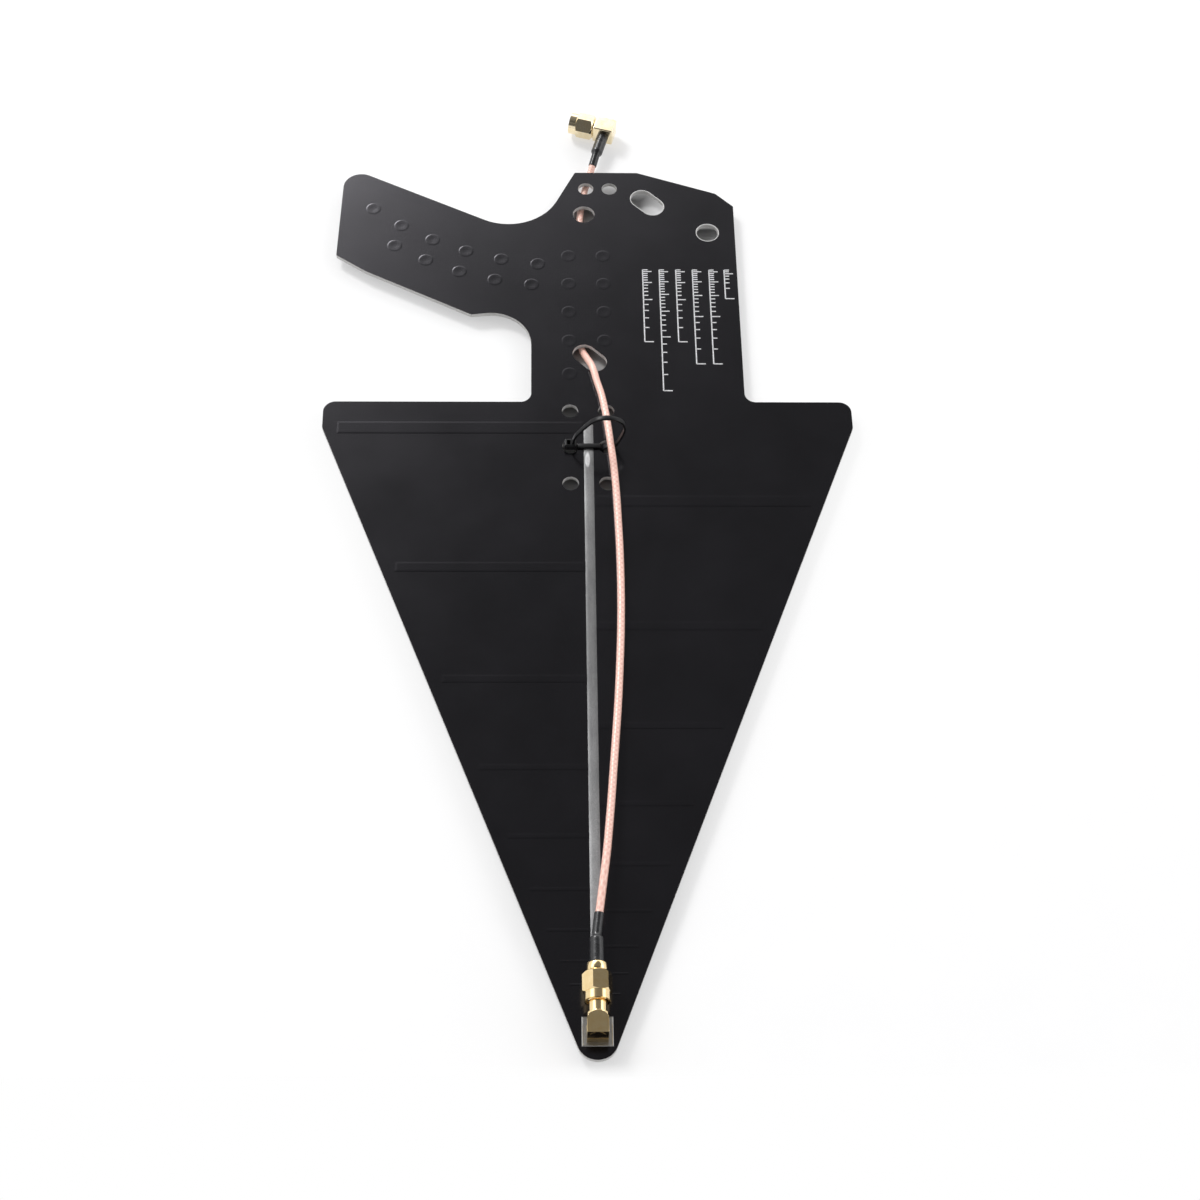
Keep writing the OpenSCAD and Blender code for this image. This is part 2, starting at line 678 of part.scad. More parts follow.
// Solder round one leg: a hollow cone below the board and a fill in the hole
module solder_joint() rotate_extrude() polygon(concat(
    [[leg_d / 2, board_t], [leg_d / 2, -solder_h]],
    [
        for (share = [0 : solder_step : 1])
            let (r = leg_d / 2 + solder_tip)
            [r + (solder_d / 2 - r) * pow(share, 3), share * (solder_h - copper_t) - solder_h]
    ],
    [[leg_hole_d / 2, -copper_t], [leg_hole_d / 2, board_t]]
));

module jack_solder() color("#b9bcc0") translate([0, land_y, board_lift]) {
    for (at = leg_places) translate(at) solder_joint();
    solder_joint();
}

// Front of either plug, up to the seat of its collar
module plug_front() difference() {
    union() {
        rod(front_d, 0, nut_seat);
        rod(flange_d, flange_at, flange_at + flange_t);
        rod(neck_d, flange_at, collar_at);
    }
    rod(insulator_d, -cut, insulator_l);
    difference() {
        rod(neck_d + cut, ring_from - fit, ring_to + fit);
        rod(neck_d - 2 * ring_depth, ring_from - cut, ring_to + cut);
    }
}

// Hexagon of a nut, bevelled at both ends
module nut_hex() intersection() {
    translate([0, 0, nut_hex_from]) cylinder(r = nut_corner_r, h = nut_hex_l, $fn = 6);
    translate([0, 0, nut_hex_from]) rotate_extrude() polygon([
        [0, 0], [nut_flats / 2, 0], [nut_corner_r, nut_bevel], [nut_corner_r, nut_hex_l - nut_rear_bevel],
        [nut_flats / 2 - nut_rear_in, nut_hex_l], [0, nut_hex_l]
    ]);
}

// Coupling nut of either plug
module coupling_nut() difference() {
    union() {
        rod(nut_skirt_d, nut_front, nut_hex_from + cut);
        nut_hex();
    }
    rod(thread_d + 2 * fit, nut_front - cut, nut_seat);
    rod(neck_d + 2 * fit, nut_seat - cut, nut_rear + cut);
    rod(neck_d + 4 * fit + 2 * ring_depth, ring_from - fit, ring_to + fit);
}

// Split ring that keeps a nut on its plug
module snap_ring() translate([0, 0, ring_from]) rotate_extrude(angle = 360 - ring_split)
    translate([neck_d / 2 - ring_depth + fit, 0]) square([2 * ring_depth, ring_t]);

// Gasket in front of a plug's flange
module plug_seal() difference() {
    rod(flange_d, recess_l, flange_at);
    rod(front_d, recess_l - cut, flange_at + cut);
}

// Insulator of either plug, bored for its pin
module plug_bead() difference() {
    rod(insulator_d, 0, insulator_l);
    rod(contact_d, -cut, insulator_l + cut);
}

// Pin of either plug, with a cone at its nose
module pin_turning(l) rotate_extrude() polygon([
    [0, -pin_reach], [pin_d / 4, -pin_reach], [pin_d / 2, -pin_reach + pin_d / 2], [pin_d / 2, 0],
    [contact_d / 2, 0], [contact_d / 2, l], [0, l]
]);

// Collar with bevelled rims
module collar(l) rotate_extrude() polygon([
    [0, 0], [collar_d / 2 - collar_bevel, 0], [collar_d / 2, collar_bevel], [collar_d / 2, l - collar_bevel],
    [collar_d / 2 - collar_bevel, l], [0, l]
]);

// Crimp ferrule
module ferrule() difference() {
    rod(ferrule_d, 0, ferrule_l);
    rod(stem_d + 2 * fit, -cut, ferrule_l + cut);
}

// Axis of a sleeve's tail, with 0 where the tail starts to bend
module along_tail(bend) translate([0, 0, sleeve_l]) rotate([0, bend, 0]) children();

// Shrink sleeve: wide over the ferrule, then narrow and bent along the lead
module shrink_sleeve(tail_l, bend) difference() {
    union() {
        rotate_extrude() polygon([
            [0, 0], [sleeve_d / 2, 0], [sleeve_d / 2, sleeve_l - sleeve_taper], [tail_d / 2, sleeve_l],
            [0, sleeve_l]
        ]);
        along_tail(bend) rod(tail_d, -sleeve_taper / 2, tail_l);
    }
    rod(ferrule_d, -cut, ferrule_l);
    along_tail(bend) rod(lead_d + fit, ferrule_l - sleeve_l, tail_l + cut);
}

module plug_body() color("#d9b45c") along_feed() difference() {
    union() {
        plug_front();
        translate([0, 0, collar_at]) collar(collar_l);
        rod(stem_d, collar_rear, collar_rear + stem_l);
    }
    rod(insulator_d, -cut, insulator_l);
    rod(core_d, insulator_l - cut, collar_rear + stem_l + cut);
}

module plug_nut() color("#dcb860") along_feed() rotate(plug_nut_turn) coupling_nut();

module plug_snap_ring() color("#c9a552") along_feed() snap_ring();

module plug_gasket() color("#c9c3b6") along_feed() plug_seal();

module plug_insulator() color("#f1eee4") along_feed() plug_bead();

module plug_pin() color("#e0bd66") along_feed() pin_turning(insulator_l);

module plug_ferrule() color("#cfa952") along_feed() translate([0, 0, collar_rear]) ferrule();

module plug_sleeve() color("#3b3c40")
    along_feed() translate([0, 0, collar_rear]) shrink_sleeve(sleeve_tail_l, sleeve_bend);

module coax_cable() color("#f2d2c6") tube(smooth(lead_route, lead_steps), lead_d / 2, lead_sides);

module elbow_sleeve() color("#3b3c40")
    along_elbow_leg() translate([0, 0, leg_from]) rotate(-90) shrink_sleeve(elbow_tail_l, elbow_tail_bend);

module elbow_ferrule() color("#cfa952") along_elbow_leg() translate([0, 0, leg_from]) ferrule();

// Section of the elbow's block, along its nut axis
module elbow_section() polygon([
    [elbow_front, -elbow_w / 2], [elbow_back - block_bevel, -elbow_w / 2],
    [elbow_back, block_bevel - elbow_w / 2], [elbow_back, elbow_w / 2 - block_bevel],
    [elbow_back - block_bevel, elbow_w / 2], [elbow_front, elbow_w / 2]
]);

module elbow_body() color("#d9b45c") difference() {
    union() {
        along_elbow() plug_front();
        at_elbow() translate([0, 0, -elbow_w / 2]) linear_extrude(elbow_w) elbow_section();
        along_elbow_leg() rod(stem_d, 0, leg_from + stem_l);
    }
    along_elbow() rod(insulator_d, -cut, insulator_l);
    along_elbow() rod(bead_d, insulator_l - cut, elbow_rear + cut);
    along_elbow() rod(cap_d, elbow_rear - cap_t, elbow_rear + cut);
    along_elbow_leg() rod(core_d, 0, leg_from + stem_l + cut);
}

module elbow_cap() color("#d9b45c") along_elbow() rod(cap_d, elbow_rear - cap_t, elbow_rear);

module elbow_insulator() color("#f1eee4") along_elbow() plug_bead();

module elbow_pin() color("#e0bd66") along_elbow() pin_turning(elbow_reach);

module elbow_gasket() color("#c9c3b6") along_elbow() plug_seal();

module elbow_snap_ring() color("#c9a552") along_elbow() snap_ring();

module elbow_nut() color("#dcb860") along_elbow() rotate(elbow_nut_turn) coupling_nut();

// Section of the tie across the boom: tight turn, loose loop and the run under the board
module tie_section() {
    difference() {
        translate([-tie_inner_x - strap_t, tie_low - strap_t])
            square([2 * (tie_inner_x + strap_t), tie_top - tie_low + 2 * strap_t]);
        translate([-tie_inner_x, tie_low]) square([2 * tie_inner_x, tie_top - tie_low]);
    }
    polygon(strap_edges(smooth(tie_route, tie_steps), strap_t));
    translate([tie_inner_x, tie_low - strap_t]) square([tie_foot_x + strap_t / 2 - tie_inner_x, strap_t]);
}

// Head of the tie, with bevelled upper edges and an open window for the strap's end
module tie_head() translate([-tie_x, 0, 0]) difference() {
    rotate([90, 0, 0]) linear_extrude(head_w, center = true) polygon([
        [-head_l / 2, 0], [head_l / 2, 0],
        [head_l / 2, head_h - head_bevel], [head_l / 2 - head_bevel, head_h],
        [head_bevel - head_l / 2, head_h], [-head_l / 2, head_h - head_bevel]
    ]);
    translate([-window_shift, -strap_w / 2 - tie_clear, head_h - window_depth])
        cube([window_l, strap_w + 2 * tie_clear, window_depth + cut]);
}

module cable_tie() color("#1d1d20") translate([0, tie_y, face_z]) {
    rotate([90, 0, 0]) linear_extrude(strap_w, center = true) tie_section();
    tie_head();
}

circuit_board();
front_elements();
back_elements();
boom_strip();
feed_land();
grip_dots();
jack_body();
jack_cap();
jack_insulator();
jack_contact();
jack_solder();
plug_body();
plug_nut();
plug_snap_ring();
plug_gasket();
plug_insulator();
plug_pin();
plug_ferrule();
plug_sleeve();
coax_cable();
elbow_sleeve();
elbow_ferrule();
elbow_body();
elbow_cap();
elbow_insulator();
elbow_pin();
elbow_gasket();
elbow_snap_ring();
elbow_nut();
cable_tie();
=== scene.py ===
"""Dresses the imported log-periodic antenna: mask, tin, gold plate, coax lead, tie and studio."""

import logging
import math
from abc import ABC, abstractmethod
from collections.abc import Iterable, Sequence
from dataclasses import dataclass, field
from enum import Enum
from functools import cached_property

import bmesh
import bpy
from mathutils import Matrix, Vector


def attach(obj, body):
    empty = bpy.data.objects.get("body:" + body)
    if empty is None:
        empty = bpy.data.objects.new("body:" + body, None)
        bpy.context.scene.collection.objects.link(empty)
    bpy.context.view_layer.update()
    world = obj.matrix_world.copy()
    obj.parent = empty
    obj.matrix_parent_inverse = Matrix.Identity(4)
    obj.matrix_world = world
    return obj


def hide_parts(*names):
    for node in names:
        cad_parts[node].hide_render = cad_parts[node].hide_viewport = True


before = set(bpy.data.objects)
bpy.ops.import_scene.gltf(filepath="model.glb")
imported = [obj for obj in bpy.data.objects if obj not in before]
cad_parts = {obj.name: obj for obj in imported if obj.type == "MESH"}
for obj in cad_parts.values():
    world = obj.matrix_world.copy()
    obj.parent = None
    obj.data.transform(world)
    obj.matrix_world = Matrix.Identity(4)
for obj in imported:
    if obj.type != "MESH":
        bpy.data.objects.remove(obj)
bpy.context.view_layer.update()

LOG = logging.getLogger("antenna")
MM = 0.001
MERGE = 1e-6
FACING_UP = 0.99
UP = Vector((0, 0, 1))

# The board's upper face, the land's middle and the strip's ends, in millimetres
FACE_Z = 4.5
LAND_Y = -166.3
STRIP_FROM = -161.65
STRIP_TO = 57.0

Colour = tuple[float, float, float]
Profile = Sequence[tuple[float, float]]
Point = tuple[float, float, float]


class Body(Enum):
    """Rigid bodies of the frame that pieces ride on."""

    ANTENNA = "antenna"
    FREE_NUT = "free_nut"


class Space(Enum):
    """Coordinates that a pattern is drawn in."""

    OBJECT = "Object"
    NORMAL = "Normal"
    UV = "UV"


class Nodes:
    """Node tree of a material or of the world, with helpers that add nodes and join them."""

    def __init__(self, tree: bpy.types.NodeTree) -> None:
        """Take over a tree and empty it.

        Args:
            tree: The tree.
        """
        self.tree = tree
        tree.nodes.clear()

    def node(self, kind: str, inputs: dict | None = None, **settings: object) -> bpy.types.Node:
        """Add a node.

        Args:
            kind: Blender's name of the node type.
            inputs: Values for its sockets, by name or index.
            settings: Attributes of the node.

        Returns:
            The new node.
        """
        made = self.tree.nodes.new(kind)
        for key, value in settings.items():
            setattr(made, key, value)
        for key, value in (inputs or {}).items():
            made.inputs[key].default_value = value
        return made

    def link(self, source: bpy.types.NodeSocket, target: bpy.types.NodeSocket) -> None:
        """Join two sockets.

        Args:
            source: Socket that gives a value.
            target: Socket that takes it.
        """
        self.tree.links.new(source, target)

    def place(
        self,
        space: Space = Space.OBJECT,
        scale: Point = (1, 1, 1),
        turn: Point = (0, 0, 0),
        shift: Point = (0, 0, 0),
    ) -> bpy.types.NodeSocket:
        """Coordinates for a pattern.

        Args:
            space: Where the coordinates come from.
            scale: Stretch along each axis.
            turn: Rotation in radians.
            shift: Offset of the pattern.

        Returns:
            The vector socket.
        """
        source = self.node("ShaderNodeTexCoord").outputs[space.value]
        mapping = self.node("ShaderNodeMapping", {"Location": shift, "Rotation": turn, "Scale": scale})
        self.link(source, mapping.inputs["Vector"])
        return mapping.outputs["Vector"]

    def noise(
        self, at: bpy.types.NodeSocket, scale: float, detail: float = 2.0, rough: float = 0.5
    ) -> bpy.types.NodeSocket:
        """Soft noise.

        Args:
            at: Coordinates.
            scale: Cells per metre.
            detail: Octaves.
            rough: Weight of the finer octaves.

        Returns:
            The factor socket.
        """
        made = self.node("ShaderNodeTexNoise", {"Scale": scale, "Detail": detail, "Roughness": rough})
        self.link(at, made.inputs["Vector"])
        return made.outputs["Fac"]

    def wave(
        self, at: bpy.types.NodeSocket, period: float, axis: str, wander: float = 0.0
    ) -> bpy.types.NodeSocket:
        """Even bands.

        Args:
            at: Coordinates.
            period: Length of one band, in the units of the coordinates.
            axis: Axis across the bands.
            wander: Distortion of the bands.

        Returns:
            The factor socket.
        """
        made = self.node(
            "ShaderNodeTexWave",
            {"Scale": math.tau / (20 * period), "Distortion": wander, "Detail": 1.0},
            bands_direction=axis,
        )
        self.link(at, made.inputs["Vector"])
        return made.outputs["Fac"]

    def ramp(
        self, factor: bpy.types.NodeSocket, stops: Sequence[tuple[float, Colour]]
    ) -> bpy.types.NodeSocket:
        """Colour ramp.

        Args:
            factor: Position on the ramp.
            stops: Positions with their colours.

        Returns:
            The colour socket.
        """
        made = self.node("ShaderNodeValToRGB")
        elements = made.color_ramp.elements
        while len(elements) < len(stops):
            elements.new(0.5)
        for element, (position, colour) in zip(elements, stops):
            element.position = position
            element.color = (*colour, 1.0)
        self.link(factor, made.inputs["Fac"])
        return made.outputs["Color"]

    def span(self, factor: bpy.types.NodeSocket, low: float, high: float) -> bpy.types.NodeSocket:
        """Factor stretched to a range.

        Args:
            factor: A factor from 0 to 1.
            low: Value at 0.
            high: Value at 1.

        Returns:
            The value socket.
        """
        made = self.node("ShaderNodeMapRange", {"To Min": low, "To Max": high})
        self.link(factor, made.inputs["Value"])
        return made.outputs["Result"]

    def math(
        self, operation: str, a: bpy.types.NodeSocket, b: bpy.types.NodeSocket | float = 0.0
    ) -> bpy.types.NodeSocket:
        """Arithmetic on two factors.

        Args:
            operation: Blender's name of the operation.
            a: First operand.
            b: Second operand, a socket or a number.

        Returns:
            The value socket.
        """
        made = self.node("ShaderNodeMath", operation=operation)
        self.link(a, made.inputs[0])
        if isinstance(b, bpy.types.NodeSocket):
            self.link(b, made.inputs[1])
        else:
            made.inputs[1].default_value = b
        return made.outputs["Value"]

    def mix(
        self,
        factor: bpy.types.NodeSocket,
        a: bpy.types.NodeSocket,
        b: bpy.types.NodeSocket,
        kind: str = "RGBA",
    ) -> bpy.types.NodeSocket:
        """Blend of two colours or two values.

        Args:
            factor: Share of the second.
            a: First input.
            b: Second input.
            kind: RGBA for colours and FLOAT for values.

        Returns:
            The blended socket.
        """
        made = self.node("ShaderNodeMix", data_type=kind)
        pick = {"RGBA": (6, 7, 2), "FLOAT": (2, 3, 0)}[kind]
        self.link(factor, made.inputs[0])
        self.link(a, made.inputs[pick[0]])
        self.link(b, made.inputs[pick[1]])
        return made.outputs[pick[2]]

    def dim(self, colour: bpy.types.NodeSocket, factor: bpy.types.NodeSocket) -> bpy.types.NodeSocket:
        """Colour darkened by a factor.

        Args:
            colour: The colour.
            factor: A grey factor.

        Returns:
            The darkened colour socket.
        """
        made = self.node("ShaderNodeMix", {0: 1.0}, data_type="RGBA", blend_type="MULTIPLY")
        self.link(colour, made.inputs[6])
        self.link(factor, made.inputs[7])
        return made.outputs[2]

    def parts(self, vector: bpy.types.NodeSocket) -> bpy.types.NodeOutputs:
        """Components of a vector.

        Args:
            vector: The vector.

        Returns:
            The sockets X, Y and Z.
        """
        made = self.node("ShaderNodeSeparateXYZ")
        self.link(vector, made.inputs["Vector"])
        return made.outputs

    def share(self, value: bpy.types.NodeSocket, low: float, high: float) -> bpy.types.NodeSocket:
        """Share of the way between two values, held at 0 and 1 beyond them.

        Args:
            value: The value.
            low: Where the share is 0.
            high: Where it is 1.

        Returns:
            The share socket.
        """
        made = self.node("ShaderNodeMapRange", {"From Min": low, "From Max": high})
        self.link(value, made.inputs["Value"])
        return made.outputs["Result"]

    def tones(
        self, value: bpy.types.NodeSocket, low: float, high: float, stops: Sequence[tuple[float, float]]
    ) -> bpy.types.NodeSocket:
        """Grey tones over a range of values.

        Args:
            value: The value.
            low: Value at the start of the range.
            high: Value at its end.
            stops: Shares of the range with their tones.

        Returns:
            The tone socket.
        """
        greys = [(at, (tone, tone, tone)) for at, tone in stops]
        return self.ramp(self.share(value, low, high), greys)


class Graph(Nodes):
    """Nodes of one material, round a single principled shader."""

    def __init__(self, name: str) -> None:
        """Make a material.

        Args:
            name: Name of the material.
        """
        self.material = bpy.data.materials.new(name)
        self.material.use_nodes = True
        super().__init__(self.material.node_tree)
        self.shader = self.node("ShaderNodeBsdfPrincipled")
        self.output = self.node("ShaderNodeOutputMaterial")
        self.link(self.shader.outputs["BSDF"], self.output.inputs["Surface"])

    def set(self, **values: object) -> None:
        """Set constant sockets of the shader.

        Args:
            values: Values by the sockets' names, with underscores for spaces.
        """
        for key, value in values.items():
            self.shader.inputs[key.replace("_", " ")].default_value = value

    def feed(self, name: str, source: bpy.types.NodeSocket) -> None:
        """Drive one socket of the shader from a pattern.

        Args:
            name: Name of the socket.
            source: The pattern.
        """
        self.link(source, self.shader.inputs[name])

    def bump(self, *layers: tuple[bpy.types.NodeSocket, float]) -> None:
        """Relief on the shader's normal.

        Args:
            layers: Height factors, each with its depth in metres.
        """
        normal = None
        for height, depth in layers:
            made = self.node("ShaderNodeBump", {"Strength": 1.0, "Distance": depth})
            self.link(height, made.inputs["Height"])
            if normal is not None:
                self.link(normal, made.inputs["Normal"])
            normal = made.outputs["Normal"]
        self.feed("Normal", normal)


@dataclass(frozen=True)
class Finish(ABC):
    """A surface finish that pieces share."""

    name: str
    slot: str | None

    @cached_property
    def material(self) -> bpy.types.Material:
        """The Blender material, made once."""
        graph = Graph(self.name)
        self.paint(graph)
        return graph.material

    @abstractmethod
    def paint(self, graph: Graph) -> None:
        """Lay the nodes of the finish.

        Args:
            graph: Nodes of a new material.
        """


@dataclass(frozen=True)
class MaskFinish(Finish):
    """Satin black mask on the faces, with pale bare laminate on the cut walls."""

    dark: Colour = (0.0026, 0.0025, 0.0030)
    light: Colour = (0.0042, 0.0040, 0.0050)
    rough_low: float = 0.13
    rough_high: float = 0.20
    core_dark: Colour = (0.44, 0.435, 0.42)
    core_light: Colour = (0.66, 0.655, 0.64)
    face_limit: float = 0.35
    weave_pitch: float = 0.9
    ply_pitch: float = 0.22
    # Pale rings in the laminate's colour round openings: middle, half straight length and radius in
    # millimetres, with their lean and width
    bare: tuple[tuple[float, float, float, float], ...] = ()
    bare_lean: float = 45.0
    bare_w: float = 0.25

    def rim(self, graph: Graph, opening: tuple[float, float, float, float]) -> bpy.types.NodeSocket:
        """Pale ring in the laminate's colour round an opening.

        Args:
            graph: The finish's nodes.
            opening: Middle, half of the straight length and radius of the opening, in millimetres.

        Returns:
            A factor socket, 1 on the bare rim.
        """
        x, y, half, radius = opening
        lean = math.radians(self.bare_lean)
        middle = Matrix.Rotation(lean, 3, "Z") @ Vector((x, y, 0)) * MM
        at = graph.place(scale=(1, 1, 0), turn=(0, 0, lean), shift=tuple(-middle))
        for operation, other in (("ABSOLUTE", 0.0), ("SUBTRACT", half * MM), ("MAXIMUM", 0.0)):
            step = graph.node("ShaderNodeVectorMath", {1: (other, 0, 0)}, operation=operation)
            graph.link(at, step.inputs[0])
            at = step.outputs["Vector"]
        reach = graph.node("ShaderNodeVectorMath", operation="LENGTH")
        graph.link(at, reach.inputs[0])
        return graph.math("LESS_THAN", reach.outputs["Value"], (radius + self.bare_w) * MM)

    def paint(self, graph: Graph) -> None:
        """Lay the mask, the woven print-through and the laminate's plies."""
        at = graph.place()
        cloud = graph.noise(at, scale=38, detail=4, rough=0.6)
        grain = graph.noise(at, scale=2600, detail=2)
        pitch = self.weave_pitch * MM
        weave = graph.math("ADD", graph.wave(at, pitch, "X"), graph.wave(at, pitch, "Y"))
        mask = graph.ramp(cloud, [(0.3, self.dark), (0.75, self.light)])
        fibres = graph.noise(graph.place(scale=(1, 1, 9)), scale=900, detail=3, rough=0.7)
        plies = graph.wave(at, self.ply_pitch * MM, "Z", wander=1.5)
        glass = graph.math("MULTIPLY", fibres, plies)
        core = graph.ramp(glass, [(0.1, self.core_dark), (0.5, self.core_light)])
        upright = graph.math("ABSOLUTE", graph.parts(graph.place(Space.NORMAL))["Z"])
        wall = graph.math("LESS_THAN", upright, self.face_limit)
        for opening in self.bare:
            wall = graph.math("MAXIMUM", wall, self.rim(graph, opening))
        graph.feed("Base Color", graph.mix(wall, mask, core))
        face_rough = graph.span(cloud, self.rough_low, self.rough_high)
        wall_rough = graph.span(fibres, low=0.7, high=0.9)
        graph.feed("Roughness", graph.mix(wall, face_rough, wall_rough, "FLOAT"))
        graph.set(Specular_IOR_Level=0.52, Specular_Tint=(0.95, 0.925, 1.0, 1.0))
        graph.bump((grain, 0.002 * MM), (weave, 0.0008 * MM), (fibres, 0.002 * MM))


@dataclass(frozen=True)
class TinFinish(Finish):
    """Tinned copper with the slow waves and grains of levelled tin."""

    dark: Colour = (0.205, 0.205, 0.208)
    light: Colour = (0.385, 0.385, 0.385)
    rough_low: float = 0.38
    rough_high: float = 0.58
    ripple: float = 0.02
    # Tones along the strip from its tip end, darker towards the middle
    tone_along_strip: tuple[tuple[float, float], ...] = (
        (0.0, 1.0), (0.2, 1.0), (0.58, 0.49), (0.9, 0.6), (1.0, 0.65),
    )
    # Painted highlight on the strip beside the tie: its middle and size in millimetres, and how much it
    # lightens the tin
    highlight_at: tuple[float, float] = (-0.42, 42.0)
    highlight_size: tuple[float, float] = (0.95, 3.5)
    highlight_gain: float = 1.3

    def paint(self, graph: Graph) -> None:
        """Lay grains and slow waves, darker away from the tip, with one painted highlight beside the
        tie.
        """
        slow = graph.noise(graph.place(scale=(1, 0.25, 1)), scale=260, detail=3, rough=0.6)
        grain = graph.noise(graph.place(), scale=3200, detail=3, rough=0.65)
        tin = graph.ramp(graph.math("MULTIPLY", slow, grain), [(0.12, self.dark), (0.42, self.light)])
        along = graph.parts(graph.place())["Y"]
        # The strip's tone, darker away from the tip
        tone_along_strip = graph.tones(along, STRIP_FROM * MM, STRIP_TO * MM, self.tone_along_strip)
        reach = graph.node("ShaderNodeVectorMath", operation="LENGTH")
        grow = [1 / (size * MM) for size in self.highlight_size]
        shift = [-at * MM * scale for at, scale in zip(self.highlight_at, grow)]
        graph.link(graph.place(scale=(*grow, 0), shift=(*shift, 0)), reach.inputs[0])
        # Painted highlight: the tin is lightened in one spot beside the tie
        painted_highlight = graph.ramp(reach.outputs["Value"], [(0.7, (1, 1, 1)), (1.0, (0, 0, 0))])
        tone = graph.math("ADD", tone_along_strip, graph.math("MULTIPLY", painted_highlight, self.highlight_gain))
        graph.feed("Base Color", graph.dim(tin, tone))
        graph.feed("Roughness", graph.span(slow, self.rough_high, self.rough_low))
        graph.set(Metallic=0.85)
        graph.bump((slow, self.ripple * MM), (grain, 0.004 * MM))


@dataclass(frozen=True)
class GoldFinish(Finish):
    """Bright gold plate over turned brass, with fine lathe lines round the axis."""

    axis_turn: Point = (0, 0, 0)
    deep: Colour = (0.88, 0.65, 0.32)
    pale: Colour = (0.93, 0.73, 0.41)
    rough_low: float = 0.10
    rough_high: float = 0.18

    def paint(self, graph: Graph) -> None:
        """Lay lathe lines across the axis, stains and small scratches."""
        at = graph.place(turn=self.axis_turn)
        drawn = graph.place(turn=self.axis_turn, scale=(0.04, 1, 0.04))
        lines = graph.noise(drawn, scale=9000, detail=2)
        stain = graph.noise(at, scale=420, detail=4, rough=0.6)
        graph.feed("Base Color", graph.ramp(stain, [(0.3, self.deep), (0.62, self.pale)]))
        graph.feed("Roughness", graph.span(stain, self.rough_high, self.rough_low))
        graph.set(Metallic=1.0)
        graph.bump((lines, 0.0004 * MM), (stain, 0.0015 * MM))


@dataclass(frozen=True)
class WhiteFinish(Finish):
    """Waxy white insulator with faint turning marks."""

    low: Colour = (0.72, 0.70, 0.64)
    high: Colour = (0.86, 0.85, 0.80)

    def paint(self, graph: Graph) -> None:
        """Lay a soft mottle."""
        at = graph.place()
        mottle = graph.noise(at, scale=1800, detail=3)
        graph.feed("Base Color", graph.ramp(mottle, [(0.3, self.low), (0.7, self.high)]))
        graph.feed("Roughness", graph.span(mottle, low=0.42, high=0.58))
        graph.set(Subsurface_Weight=0.15, Subsurface_Scale=0.4 * MM)
        graph.bump((mottle, 0.006 * MM))


@dataclass(frozen=True)
class SleeveFinish(Finish):
    """Satin shrink sleeve, slightly rippled over what it grips."""

    low: Colour = (0.010, 0.0102, 0.011)
    high: Colour = (0.022, 0.0225, 0.0245)

    def paint(self, graph: Graph) -> None:
        """Lay shrink ripples, a fine grain and rubbed patches."""
        at = graph.place()
        ripple = graph.noise(at, scale=700, detail=2)
        grain = graph.noise(at, scale=6500, detail=2, rough=0.6)
        graph.feed("Base Color", graph.ramp(ripple, [(0.35, self.low), (0.7, self.high)]))
        graph.feed("Roughness", graph.span(grain, low=0.2, high=0.36))
        graph.bump((ripple, 0.05 * MM), (grain, 0.006 * MM))


@dataclass(frozen=True)
class JacketFinish(Finish):
    """Tinted clear jacket over a silvered braid."""

    wire: Colour = (0.975, 0.78, 0.72)
    gap: Colour = (0.86, 0.58, 0.51)
    tint: Colour = (0.985, 0.83, 0.775)
    strands_round: float = 8.0
    strands_along: float = 420.0

    def paint(self, graph: Graph) -> None:
        """Lay the crossed braid below a clear coat."""
        along = (self.strands_along, self.strands_round, 1)
        left = graph.wave(graph.place(Space.UV, along), 1.0, "DIAGONAL")
        right = graph.wave(graph.place(Space.UV, (along[0], -along[1], 1)), 1.0, "DIAGONAL")
        braid = graph.math("MAXIMUM", left, right)
        mottle = graph.noise(graph.place(), scale=900, detail=3)
        tone = graph.math("MULTIPLY", braid, graph.span(mottle, low=0.75, high=1.1))
        graph.feed("Base Color", graph.ramp(tone, [(0.3, self.gap), (0.85, self.wire)]))
        graph.feed("Roughness", graph.span(braid, low=0.5, high=0.36))
        graph.set(Coat_Weight=1.0, Coat_Roughness=0.2, Coat_IOR=1.35, Coat_Tint=(*self.tint, 1.0))
        graph.bump((braid, 0.008 * MM))


@dataclass(frozen=True)
class NylonFinish(Finish):
    """Moulded black nylon."""

    low: Colour = (0.006, 0.006, 0.0065)
    high: Colour = (0.014, 0.014, 0.015)

    def paint(self, graph: Graph) -> None:
        """Lay a moulded grain and the drag lines of the strap."""
        grain = graph.noise(graph.place(), scale=3600, detail=2)
        drag = graph.noise(graph.place(scale=(1, 12, 1)), scale=500, detail=2)
        graph.feed("Base Color", graph.ramp(drag, [(0.3, self.low), (0.7, self.high)]))
        graph.feed("Roughness", graph.span(grain, low=0.28, high=0.44))
        graph.set(Specular_IOR_Level=0.15)
        graph.bump((grain, 0.006 * MM), (drag, 0.01 * MM))


@dataclass(frozen=True)
class RubberFinish(Finish):
    """Soft gasket ring."""

    low: Colour = (0.30, 0.26, 0.21)
    high: Colour = (0.46, 0.41, 0.34)

    def paint(self, graph: Graph) -> None:
        """Lay a dull mottle."""
        mottle = graph.noise(graph.place(), scale=2600, detail=3)
        graph.feed("Base Color", graph.ramp(mottle, [(0.3, self.low), (0.7, self.high)]))
        graph.feed("Roughness", graph.span(mottle, low=0.6, high=0.8))
        graph.bump((mottle, 0.01 * MM))


